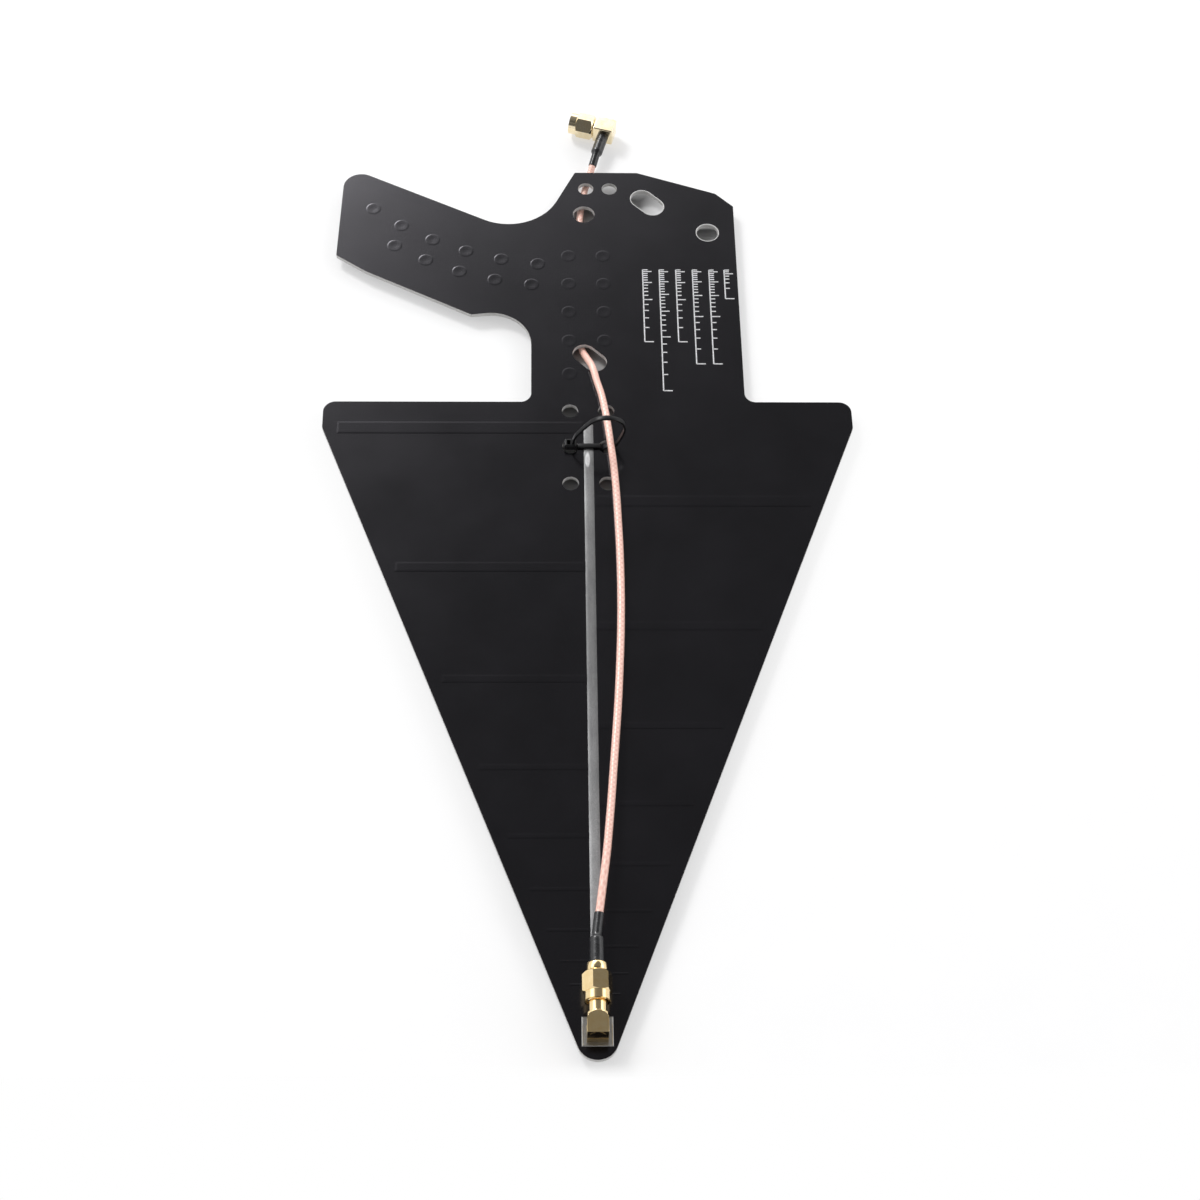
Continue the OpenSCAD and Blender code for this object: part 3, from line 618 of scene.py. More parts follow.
@dataclass(frozen=True)
class SolderFinish(Finish):
    """Bright solder with a flux-dulled skin."""

    dark: Colour = (0.36, 0.36, 0.36)
    light: Colour = (0.72, 0.72, 0.71)

    def paint(self, graph: Graph) -> None:
        """Lay frost and a slow unevenness."""
        at = graph.place()
        frost = graph.noise(at, scale=2400, detail=4, rough=0.65)
        lump = graph.noise(at, scale=800, detail=2)
        graph.feed("Base Color", graph.ramp(frost, [(0.3, self.dark), (0.65, self.light)]))
        graph.feed("Roughness", graph.span(lump, low=0.16, high=0.4))
        graph.set(Metallic=1.0)
        graph.bump((lump, 0.05 * MM), (frost, 0.006 * MM))


@dataclass(frozen=True)
class InkFinish(Finish):
    """White printed ink, thin and a little patchy."""

    low: Colour = (0.46, 0.46, 0.47)
    high: Colour = (0.74, 0.74, 0.75)

    def paint(self, graph: Graph) -> None:
        """Lay a patchy cover and a fine grain."""
        at = graph.place()
        patch = graph.noise(at, scale=1500, detail=3, rough=0.6)
        grain = graph.noise(at, scale=5200, detail=2)
        graph.feed("Base Color", graph.ramp(patch, [(0.3, self.low), (0.6, self.high)]))
        graph.feed("Roughness", graph.span(grain, low=0.5, high=0.7))
        graph.bump((grain, 0.004 * MM))


MASK = MaskFinish("black_mask", "solder_mask", bare=((44.7, 145.6, 0.0, 4.0), (23.0, 160.2, 2.7, 4.1)))
COPPER_MASK = MaskFinish(
    "mask_over_copper", "masked_copper", light=(0.0046, 0.0044, 0.0056), face_limit=-1.0
)
TIN = TinFinish("tinned_strip", "tinned_copper")
LAND_TIN = TinFinish(
    "tinned_land",
    "tinned_copper",
    dark=(0.46, 0.45, 0.43),
    light=(0.66, 0.65, 0.62),
    rough_low=0.07,
    rough_high=0.16,
    ripple=0.002,
)
GOLD = GoldFinish("gold_feed", "gold_plate")
# Gold of the elbow plug, with its lathe lines round its own axis and painted paler than the feed's
# gold: painted light, the same plate where more light falls on it
ELBOW_GOLD_PAINTED_PALER = GoldFinish(
    "gold_free_plug_painted_paler",
    "gold_plate",
    axis_turn=(0.0, 0.0, math.radians(90 + 16.5)),
    deep=(0.90, 0.75, 0.47),
    pale=(0.95, 0.83, 0.59),
)
CONTACT = GoldFinish(
    "gold_contacts",
    "gold_contact",
    deep=(0.70, 0.50, 0.22),
    pale=(0.86, 0.67, 0.36),
    rough_low=0.14,
    rough_high=0.28,
)
WHITE = WhiteFinish("white_insulator", "white_insulator")
SLEEVE = SleeveFinish("shrink_sleeve", "shrink_sleeve")
JACKET = JacketFinish("lead_jacket", "lead_jacket")
NYLON = NylonFinish("black_nylon", "black_nylon")
RUBBER = RubberFinish("gasket_ring", "gasket_rubber")
SOLDER = SolderFinish("bright_solder", "solder")
INK = InkFinish("white_ink", None)


def piece(
    name: str,
    bm: bmesh.types.BMesh,
    finish: Finish,
    nodes: Iterable[str] = (),
    body: Body = Body.ANTENNA,
    smooth: float = 35.0,
    flat: bool = False,
) -> bpy.types.Object:
    """Turn a bmesh into a finished piece on its body.

    Args:
        name: Name of the piece.
        bm: Its mesh, freed here.
        finish: Its finish.
        nodes: Solids that it stands for.
        body: Body that it rides on.
        smooth: Angle in degrees above which an edge stays sharp.
        flat: Whether large faces keep their own direction beside rounded edges.

    Returns:
        The new object.
    """
    mesh = bpy.data.meshes.new(name)
    bm.to_mesh(mesh)
    bm.free()
    made = dress(name, mesh, finish, nodes, body, smooth)
    if flat:
        weigh = made.modifiers.new("faces", "WEIGHTED_NORMAL")
        weigh.keep_sharp = True
    return made


def dress(
    name: str,
    mesh: bpy.types.Mesh,
    finish: Finish,
    nodes: Iterable[str] = (),
    body: Body = Body.ANTENNA,
    smooth: float = 35.0,
) -> bpy.types.Object:
    """Put a mesh in the scene with its finish and body.

    Args:
        name: Name of the piece.
        mesh: Its mesh, in place.
        finish: Its finish.
        nodes: Solids that it stands for.
        body: Body that it rides on.
        smooth: Angle in degrees above which an edge stays sharp.

    Returns:
        The new object.
    """
    mesh.shade_smooth()
    mesh.set_sharp_from_angle(angle=math.radians(smooth))
    mesh.materials.clear()
    mesh.materials.append(finish.material)
    made = bpy.data.objects.new(name, mesh)
    bpy.context.scene.collection.objects.link(made)
    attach(made, body.value)
    if nodes:
        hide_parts(*nodes)
    LOG.info("piece %s: %d faces, finish %s", name, len(mesh.polygons), finish.name)
    return made


def repaint(finish: Finish, *nodes: str) -> None:
    """Give solids that stay in view a finish.

    Args:
        finish: The finish.
        nodes: Names of the solids.
    """
    for name in nodes:
        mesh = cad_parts[name].data
        mesh.materials.clear()
        mesh.materials.append(finish.material)
        LOG.info("solid %s: finish %s", name, finish.name)


def turned(
    profile: Profile, place: Matrix, steps: int = 72, turns: int = 1, rise: float = 0.0
) -> bmesh.types.BMesh:
    """Spin a profile about the local Z axis.

    Args:
        profile: Pairs of radius and station, in millimetres.
        place: Where the axis lies.
        steps: Steps of a full turn.
        turns: Number of turns.
        rise: Way along the axis in each turn, in millimetres.

    Returns:
        The turned shell, or a helix where it rises.
    """
    bm = bmesh.new()
    verts = [bm.verts.new((r * MM, 0, z * MM)) for r, z in profile]
    edges = [bm.edges.new(pair) for pair in zip(verts, verts[1:])]
    bmesh.ops.spin(
        bm,
        geom=[*verts, *edges],
        cent=(0, 0, 0),
        axis=UP,
        dvec=UP * (rise * MM / steps),
        angle=math.tau * turns,
        steps=steps * turns,
        use_merge=not rise,
    )
    bmesh.ops.remove_doubles(bm, verts=bm.verts, dist=MERGE)
    bmesh.ops.recalc_face_normals(bm, faces=bm.faces)
    bmesh.ops.transform(bm, matrix=place, verts=bm.verts)
    return bm


def soften(bm: bmesh.types.BMesh, width: float, angle: float = 25.0, segments: int = 3) -> None:
    """Round the sharp edges of a mesh.

    Args:
        bm: The mesh.
        width: Width of the rounding in millimetres.
        angle: Edges that bend more than this many degrees are rounded.
        segments: Faces across the rounding.
    """
    limit = math.radians(angle)
    sharp = [e for e in bm.edges if e.is_manifold and e.calc_face_angle() > limit]
    round_edges(bm, sharp, width, segments)


def round_edges(
    bm: bmesh.types.BMesh, edges: list[bmesh.types.BMEdge], width: float, segments: int
) -> None:
    """Round chosen edges of a mesh.

    Args:
        bm: The mesh.
        edges: Edges to round.
        width: Width of the rounding in millimetres.
        segments: Faces across the rounding.
    """
    bmesh.ops.bevel(
        bm,
        geom=edges,
        offset=width * MM,
        offset_type="OFFSET",
        affect="EDGES",
        segments=segments,
        profile=0.5,
        material=-1,
        clamp_overlap=True,
    )


def merged_copy(node: str) -> bmesh.types.BMesh:
    """Copy of a solid's mesh, with its loose triangles joined into whole faces.

    Args:
        node: Name of the solid.

    Returns:
        The joined mesh.
    """
    bm = bmesh.new()
    bm.from_mesh(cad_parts[node].data)
    bmesh.ops.remove_doubles(bm, verts=bm.verts, dist=MERGE)
    bmesh.ops.dissolve_limit(bm, angle_limit=math.radians(0.5), verts=bm.verts, edges=bm.edges)
    return bm


def block(low: Point, high: Point, place: Matrix, bevel: float, segments: int = 3) -> bmesh.types.BMesh:
    """Box with rounded edges.

    Args:
        low: Lowest corner in millimetres.
        high: Highest corner in millimetres.
        place: Where the box lies.
        bevel: Width of the rounded edges in millimetres.
        segments: Faces across a rounded edge.

    Returns:
        The box.
    """
    bm = cuboid(low, high)
    soften(bm, bevel, segments=segments)
    bmesh.ops.transform(bm, matrix=place, verts=bm.verts)
    return bm


def cuboid(low: Point, high: Point) -> bmesh.types.BMesh:
    """Plain box.

    Args:
        low: Lowest corner in millimetres.
        high: Highest corner in millimetres.

    Returns:
        The box.
    """
    bm = bmesh.new()
    bmesh.ops.create_cube(bm, size=1.0)
    size = (Vector(high) - Vector(low)) * MM
    centre = (Vector(high) + Vector(low)) / 2 * MM
    bmesh.ops.scale(bm, vec=size, verts=bm.verts)
    bmesh.ops.translate(bm, vec=centre, verts=bm.verts)
    return bm


def join(bm: bmesh.types.BMesh, other: bmesh.types.BMesh) -> None:
    """Add another shell to a mesh.

    Args:
        bm: The mesh that grows.
        other: Shell to add, freed here.
    """
    mesh = bpy.data.meshes.new("shell")
    other.to_mesh(mesh)
    other.free()
    bm.from_mesh(mesh)
    bpy.data.meshes.remove(mesh)


def smooth_path(points: Sequence[Point], steps: int) -> list[Vector]:
    """Smooth curve through points.

    Args:
        points: Points to pass through.
        steps: Steps between neighbours.

    Returns:
        Points along the curve.
    """
    p = [Vector(q) for q in points]
    last = len(p) - 1
    path = []
    for i in range(last):
        a, b, c, d = p[max(i - 1, 0)], p[i], p[i + 1], p[min(i + 2, last)]
        for k in range(steps):
            t = k / steps
            bow = (2 * a - 5 * b + 4 * c - d) * t**2
            sway = (3 * b - a - 3 * c + d) * t**3
            path.append((2 * b + (c - a) * t + bow + sway) / 2)
    path.append(p[last])
    return path


def swept(name: str, path: Sequence[Vector], radii: Sequence[float], sides: int) -> bpy.types.Mesh:
    """Round tube along a path, with a radius at each point and closed ends.

    Args:
        name: Name of the mesh.
        path: Points in millimetres.
        radii: Radius at each point in millimetres.
        sides: Faces round the tube.

    Returns:
        The tube's mesh, with its own UV map.
    """
    curve = bpy.data.curves.new(name, "CURVE")
    curve.dimensions = "3D"
    curve.twist_mode = "Z_UP"
    curve.bevel_depth = MM
    curve.bevel_resolution = sides // 4 - 1
    curve.use_fill_caps = True
    spline = curve.splines.new("POLY")
    spline.points.add(len(path) - 1)
    for point, at, radius in zip(spline.points, path, radii):
        point.co = (*(at * MM), 1.0)
        point.radius = radius
    holder = bpy.data.objects.new(name, curve)
    bpy.context.scene.collection.objects.link(holder)
    bpy.context.view_layer.update()
    graph = bpy.context.evaluated_depsgraph_get()
    mesh = bpy.data.meshes.new_from_object(holder.evaluated_get(graph))
    bpy.data.objects.remove(holder)
    bpy.data.curves.remove(curve)
    return mesh


@dataclass(frozen=True)
class CoaxSizes:
    """Stations along a plug's axis from its mating plane, and radii, in millimetres."""

    thread_r: float = 3.175
    root_r: float = 2.74
    pitch: float = 0.7056
    front_r: float = 2.275
    neck_r: float = 2.5
    flange_r: float = 3.05
    insulator_r: float = 2.05
    flange_at: float = 2.9
    flange_to: float = 3.9
    collar_at: float = 6.7
    collar_to: float = 9.2
    collar_r: float = 3.1
    collar_nose: Profile = ((0.42, 0.0), (0.12, 0.12), (0.0, 0.42))
    collar_heel: Profile = ((0.0, 0.32), (0.09, 0.1), (0.32, 0.0))
    edge: float = 0.08
    nut_edge: float = 0.1
    sleeve_r: float = 2.15
    sleeve_to: float = 18.4
    tail_r: float = 1.5
    insulator_to: float = 8.0
    core_r: float = 0.85
    stem_r: float = 1.45
    stem_to: float = 14.7


COAX = CoaxSizes()


@dataclass
class Board:
    """Pistol-shaped laminate with its dipole arms, dots and printed scale."""

    rim: float = 0.12
    arm_slope: float = 0.6
    arm_foot: float = 0.079
    dot_r: float = 2.7
    dot_h: float = 0.036
    dot_dip: float = 0.014
    dot_floor_share: float = 0.35
    dot_lip_share: float = 0.5
    dot_slope: float = 0.35
    dot_steps: int = 48
    dot_column_from: float = -12.0
    dot_column_share: float = 0.55
    scale_rows: tuple[tuple[float, float, float, int], ...] = (
        (20.5, 94.0, 127.5, 17),
        (26.5, 72.0, 127.5, 27),
        (32.5, 94.0, 127.5, 17),
        (38.5, 84.0, 127.5, 22),
        (44.5, 84.0, 127.5, 22),
        (50.0, 114.0, 127.5, 8),
    )
    line_w: float = 0.42
    tick_l: float = 3.2
    tick_short: float = 0.55
    tick_group: int = 5
    ink_h: float = 0.04

    def build(self) -> None:
        """Make the panel and what lies on it."""
        self.panel()
        self.dots()
        self.scale_print()
        self.arms()
        repaint(COPPER_MASK, "back_elements")

    def panel(self) -> None:
        """Cut panel with slightly broken edges."""
        bm = merged_copy("circuit_board")
        soften(bm, self.rim, angle=40, segments=2)
        piece("board_panel", bm, MASK, ["circuit_board"], smooth=50, flat=True)

    def arms(self) -> None:
        """Dipole arms on the upper face, whose coat runs down to the board at their edges."""
        bm = merged_copy("front_elements")
        for top in [f for f in bm.faces if f.normal.z > FACING_UP]:
            slope = min(self.arm_slope * MM, min(e.calc_length() for e in top.edges) / 4)
            rim = list(top.verts)
            bmesh.ops.inset_individual(bm, faces=[top], thickness=slope, use_even_offset=True)
            for vert in rim:
                vert.co.z = (FACE_Z + self.arm_foot) * MM
        piece("front_arms", bm, COPPER_MASK, ["front_elements"], smooth=3)

    def dots(self) -> None:
        """Raised dots with a slight dip, one on each dot of the solid, lower beside the boom."""
        base, edge = FACE_Z, self.dot_r
        bm = bmesh.new()
        for centre in self.dot_centres():
            share = self.dot_column_share if centre.x > self.dot_column_from * MM else 1.0
            top = base + share * self.dot_h
            dip = top - share * self.dot_dip
            profile = [
                (0, dip),
                (self.dot_floor_share * edge, dip),
                (self.dot_lip_share * edge, top),
                (edge - self.dot_slope, top),
                (edge, base),
            ]
            join(bm, turned(profile, Matrix.Translation(centre), self.dot_steps))
        piece("dot_caps", bm, COPPER_MASK, ["grip_dots"], smooth=3)

    def dot_centres(self) -> list[Vector]:
        """Middles of the solid's separate dots, on the boom plane.

        Returns:
            One point for each dot, in metres.
        """
        bm = merged_copy("grip_dots")
        found = []
        left = set(bm.verts)
        while left:
            shell = {left.pop()}
            edge = list(shell)
            while edge:
                for link in edge.pop().link_edges:
                    for vert in link.verts:
                        if vert not in shell:
                            shell.add(vert)
                            edge.append(vert)
            left -= shell
            middle = sum((v.co for v in shell), Vector()) / len(shell)
            found.append(Vector((middle.x, middle.y, 0)))
        bm.free()
        return sorted(found, key=lambda c: (round(c.x, 5), c.y))

    def scale_print(self) -> None:
        """Plain tuning scale: rows of ticks that close up as on a logarithmic rule."""
        bm = bmesh.new()
        for x, low, high, count in self.scale_rows:
            self.bar(bm, (x, (low + high) / 2), (self.line_w, high - low))
            for tick in range(count):
                share = math.log1p(9 * tick / (count - 1)) / math.log(10)
                length = self.tick_l * (self.tick_short if tick % self.tick_group else 1.0)
                y = low + (high - low) * share
                self.bar(bm, (x + length / 2, y), (length, self.line_w))
        piece("tuning_scale", bm, INK)

    def bar(
        self, bm: bmesh.types.BMesh, middle: tuple[float, float], size: tuple[float, float]
    ) -> None:
        """Add one printed bar.

        Args:
            bm: The print.
            middle: Centre of the bar in millimetres.
            size: Its width and length in millimetres.
        """
        place = Matrix.Translation(Vector((*middle, FACE_Z + self.ink_h / 2)) * MM)
        shape = Matrix.Diagonal((size[0] * MM, size[1] * MM, self.ink_h * MM, 1))
        bmesh.ops.create_cube(bm, size=1.0, matrix=place @ shape)


@dataclass
class FeedLine:
    """Tinned boom strip and the tinned land under the jack."""

    strip_w: float = 3.3
    crown: float = 0.1
    crown_power: int = 4
    cells_across: int = 8
    cells: int = 180
    land_half: float = 4.65
    land_rings: Profile = ((0.0, 0.0), (0.0, 0.02), (0.18, 0.2), (0.3, 0.2), (0.4, 0.1))

    def build(self) -> None:
        """Make the strip and the land, and repaint the solder."""
        self.strip()
        self.land()
        repaint(SOLDER, "jack_solder")

    def land(self) -> None:
        """Land whose tin stands up in a soft rim."""
        bm = bmesh.new()
        for inset, height in self.land_rings:
            half = (self.land_half - inset) * MM
            middle = Vector((0, LAND_Y, FACE_Z + height)) * MM
            place = Matrix.Translation(middle) @ Matrix.Diagonal((half, half, 1, 1))
            bmesh.ops.create_grid(bm, x_segments=1, y_segments=1, size=1.0, matrix=place)
        bmesh.ops.delete(bm, geom=list(bm.faces)[:-1], context="FACES_ONLY")
        loops = [list(bm.verts)[4 * k : 4 * k + 4] for k in range(len(self.land_rings))]
        for low, high in zip(loops, loops[1:]):
            for a, b in ((0, 1), (1, 3), (3, 2), (2, 0)):
                bm.faces.new((low[a], low[b], high[b], high[a]))
        bmesh.ops.recalc_face_normals(bm, faces=bm.faces)
        piece("land_tin", bm, LAND_TIN, ["feed_land"], smooth=40, flat=True)

    def strip(self) -> None:
        """Strip with the domed section that levelled tin takes."""
        bm = bmesh.new()
        half = self.strip_w / 2 * MM
        length = STRIP_TO - STRIP_FROM
        middle = Vector((0, (STRIP_FROM + STRIP_TO) / 2, FACE_Z)) * MM
        place = Matrix.Translation(middle) @ Matrix.Diagonal((half, length / 2 * MM, 1, 1))
        bmesh.ops.create_grid(
            bm, x_segments=self.cells_across, y_segments=self.cells, size=1.0, matrix=place
        )
        for vert in bm.verts:
            across = min(abs(vert.co.x) / half, 1.0)
            vert.co.z += self.crown * MM * (1 - across**self.crown_power)
        piece("strip_tin", bm, TIN, ["boom_strip"], smooth=80)


@dataclass
class Jack:
    """Right-angle coax jack on the feed land."""

    axis_z: float = 9.3988
    mating_y: float = -156.3
    floor_z: float = 4.6
    width: float = 6.4
    length: float = 6.6
    crown: float = 3.2
    nose_r: float = 2.7
    nose_steps: int = 8
    bevel: float = 0.6
    edge: float = 0.1
    leg_r: float = 0.5
    leg_pitch: float = 5.08
    leg_point: float = 0.15
    leg_seat: float = 0.2
    leg_steps: int = 24
    cap_r: float = 2.4
    cap_section: Profile = ((2.4, -0.015), (0.02, -0.015), (0.0, 0.05))
    ring_l: float = 0.3
    fillet: float = 0.25
    fillet_mid: float = 0.08
    lead_in: float = 0.2
    neck_r: float = 2.65
    barrel_from: float = -6.7
    barrel_to: float = 1.9
    thread_from: float = -2.4
    thread_turns: int = 6
    thread_steps: int = 40
    thread_play: float = 0.03
    crest: tuple[float, float] = (0.44, 0.56)

    @property
    def place(self) -> Matrix:
        """The jack's axis, with Z towards the lead and 0 at the mating plane."""
        at = Vector((0, self.mating_y, self.axis_z)) * MM
        return Matrix.Translation(at) @ Matrix.Rotation(-math.pi / 2, 4, "X")

    def build(self) -> None:
        """Make the body, thread and cap, and repaint what is inside."""
        self.body()
        self.thread()
        self.cap()
        repaint(WHITE, "jack_insulator")
        repaint(CONTACT, "jack_contact")

    def body(self) -> None:
        """Block, legs and plain barrel."""
        bm = self.shell()
        ring_to = self.barrel_from + self.ring_l
        ring_r = self.width / 2
        barrel = [
            (COAX.front_r, 0.0),
            (COAX.front_r, self.barrel_to),
            (COAX.root_r - self.lead_in, self.barrel_to),
            (COAX.root_r, self.barrel_to - self.lead_in),
            (COAX.root_r, self.thread_from),
            (self.neck_r, self.thread_from),
            (self.neck_r, ring_to + self.fillet),
            (self.neck_r + self.fillet_mid, ring_to + self.fillet_mid),
            (self.neck_r + self.fillet, ring_to),
            (ring_r - self.edge, ring_to),
            (ring_r, ring_to - self.edge),
            (ring_r, self.barrel_from - self.nose_r),
        ]
        join(bm, turned(barrel, self.place))
        leg = [
            (0, 0),
            (self.leg_r - self.leg_point, 0),
            (self.leg_r, self.leg_point),
            (self.leg_r, self.floor_z + self.leg_seat),
        ]
        reach = self.leg_pitch / 2
        for x in (-reach, reach):
            for y in (-reach, reach):
                foot = Matrix.Translation(Vector((x, LAND_Y + y, 0)) * MM)
                join(bm, turned(leg, foot, self.leg_steps))
        piece("jack_block", bm, GOLD, ["jack_body"], smooth=50, flat=True)

    def shell(self) -> bmesh.types.BMesh:
        """Block whose two upright edges at the barrel are rounded, with bevelled sides.

        Returns:
            The block.
        """
        half = self.length / 2
        low = (-self.width / 2, LAND_Y - half, self.floor_z)
        high = (self.width / 2, LAND_Y + half, self.axis_z + self.crown)
        bm = cuboid(low, high)
        end = Vector(high) * MM
        front = [e for e in bm.edges if all(abs(v.co.y - end.y) < MERGE for v in e.verts)]
        upright = [e for e in front if abs(e.verts[0].co.z - e.verts[1].co.z) > MERGE]
        round_edges(bm, upright, self.nose_r, self.nose_steps)
        crown = [e for e in bm.edges if all(abs(v.co.z - end.z) < MERGE for v in e.verts)]
        sides = [e for e in crown if all(abs(abs(v.co.x) - end.x) < MERGE for v in e.verts)]
        round_edges(bm, sides, self.bevel, segments=1)
        soften(bm, self.edge, angle=40, segments=2)
        return bm

    def thread(self) -> None:
        """Coupling thread, a helix of one tooth."""
        start = self.thread_from - COAX.pitch
        crest_r = COAX.thread_r - self.thread_play
        crest = [(crest_r, start + share * COAX.pitch) for share in self.crest]
        tooth = [(COAX.root_r, start), *crest, (COAX.root_r, start + COAX.pitch)]
        bm = turned(tooth, self.place, self.thread_steps, self.thread_turns, COAX.pitch)
        piece("jack_thread", bm, GOLD, smooth=40)

    def cap(self) -> None:
        """Disc pressed flush into the rear of the block."""
        rear = LAND_Y - self.length / 2 - self.mating_y
        profile = [(self.cap_r - inset, rear + shift) for inset, shift in self.cap_section]
        piece("jack_rear_cap", turned(profile, self.place), GOLD, ["jack_cap"], smooth=10)


@dataclass
class StraightPlug:
    """Straight plug screwed on the jack, with its crimp sleeve."""

    jack: Jack
    bend: float = math.radians(7)
    tail_l: float = 7.4

    def build(self) -> None:
        """Make the plug's pieces and repaint what is inside."""
        nut_shell("tip_nut", "plug_nut", GOLD)
        self.body()
        self.sleeve()
        repaint(WHITE, "plug_insulator")
        repaint(CONTACT, "plug_pin", "plug_snap_ring", "plug_ferrule")
        repaint(RUBBER, "plug_gasket")

    def body(self) -> None:
        """Front sleeve, flange, neck, collar and stem in one turning."""
        bm = turned(plug_profile(True), self.jack.place)
        piece("tip_plug_turning", bm, GOLD, ["plug_body"])

    def sleeve(self) -> None:
        """Shrink sleeve over the crimp, bent where it follows the lead."""
        axis = Vector((0, self.jack.mating_y, self.jack.axis_z))
        straight = [(axis + Vector((0, s, 0)), r) for s, r in SLEEVE_FORM.wide()]
        turn = axis + Vector((0, COAX.sleeve_to, 0))
        heading = Vector((math.sin(self.bend), math.cos(self.bend), 0))
        tail = [(turn + heading * t, r) for t, r in SLEEVE_FORM.tail(self.tail_l)]
        path, radii = zip(*straight, *tail)
        mesh = swept("tip_shrink_sleeve", path, radii, sides=40)
        dress("tip_shrink_sleeve", mesh, SLEEVE, ["plug_sleeve"], smooth=50)


def plug_profile(stem: bool) -> Profile:
    """Half section of a plug's metal turning.

    Args:
        stem: Whether the collar and the crimp stem belong to the turning.

    Returns:
        Radius and station pairs, closed on the bore.
    """
    c = COAX
    front = [
        (c.insulator_r, 0.0),
        (c.front_r - c.edge, 0.0),
        (c.front_r, c.edge),
        (c.front_r, c.flange_at),
        (c.flange_r - c.edge, c.flange_at),
        (c.flange_r, c.flange_at + c.edge),
        (c.flange_r, c.flange_to),
        (c.neck_r, c.flange_to),
        (c.neck_r, c.collar_at),
    ]
    if not stem:
        return [*front, (c.insulator_r, c.collar_at), front[0]]
    nose = [(c.collar_r - inset, c.collar_at + shift) for inset, shift in c.collar_nose]
    heel = [(c.collar_r - inset, c.collar_to - shift) for inset, shift in c.collar_heel]
    crimp = [
        (c.stem_r, c.collar_to),
        (c.stem_r, c.stem_to),
        (c.core_r, c.stem_to),
        (c.core_r, c.insulator_to),
        (c.insulator_r, c.insulator_to),
    ]
    return [*front, *nose, *heel, *crimp, front[0]]


@dataclass(frozen=True)
class SleeveForm:
    """Stations and radii of a shrink sleeve, in millimetres."""

    lip: Profile = ((0.02, 0.22), (0.06, 0.05), (0.22, 0.0))
    crimp_from: float = 0.4
    crimp_l: float = 7.4
    crimp_depth: float = 0.035
    crimps: int = 3
    crimp_steps: int = 14
    shoulder: Profile = ((1.1, 0.01), (0.75, 0.12))
    neck: Profile = ((0.35, 0.2), (0.0, 0.03))
    tail_from: float = 0.5
    tail_short: float = 0.7
    tail_wave: float = 0.02
    tail_steps: int = 10
    tail_end: Profile = ((0.06, 0.01), (0.0, 0.1))

    def wide(self) -> Profile:
        """Wide part, slightly uneven over the crimp.

        Returns:
            Pairs of station and radius.
        """
        start, end, wide = COAX.collar_to, COAX.sleeve_to, COAX.sleeve_r
        lip = [(start + shift, wide - inset) for shift, inset in self.lip]
        crimp = []
        for k in range(1, self.crimp_steps):
            share = k / self.crimp_steps
            dent = self.crimp_depth * (1 - math.cos(math.tau * self.crimps * share)) / 2
            crimp.append((start + self.crimp_from + share * self.crimp_l, wide - dent))
        shoulder = [(end - shift, wide - inset) for shift, inset in self.shoulder]
        neck = [(end - shift, COAX.tail_r + more) for shift, more in self.neck]
        return [*lip, *crimp, *shoulder, *neck]

    def tail(self, length: float) -> Profile:
        """Tail on the lead.

        Args:
            length: Length of the tail.

        Returns:
            Pairs of station and radius.
        """
        run = length - self.tail_short
        body = []
        for k in range(self.tail_steps + 1):
            station = self.tail_from + k / self.tail_steps * run
            body.append((station, COAX.tail_r - self.tail_wave * (k % 2)))
        return [*body, *((length - shift, COAX.tail_r - inset) for shift, inset in self.tail_end)]


SLEEVE_FORM = SleeveForm()


def nut_shell(name: str, node: str, finish: Finish, body: Body = Body.ANTENNA) -> bpy.types.Object:
    """Coupling nut with broken edges.

    Args:
        name: Name of the piece.
        node: Solid that it stands for.
        finish: Its finish.
        body: Body that it rides on.

    Returns:
        The nut.
    """
    bm = merged_copy(node)
    soften(bm, COAX.nut_edge, angle=18, segments=2)
    return piece(name, bm, finish, [node], body, smooth=50, flat=True)


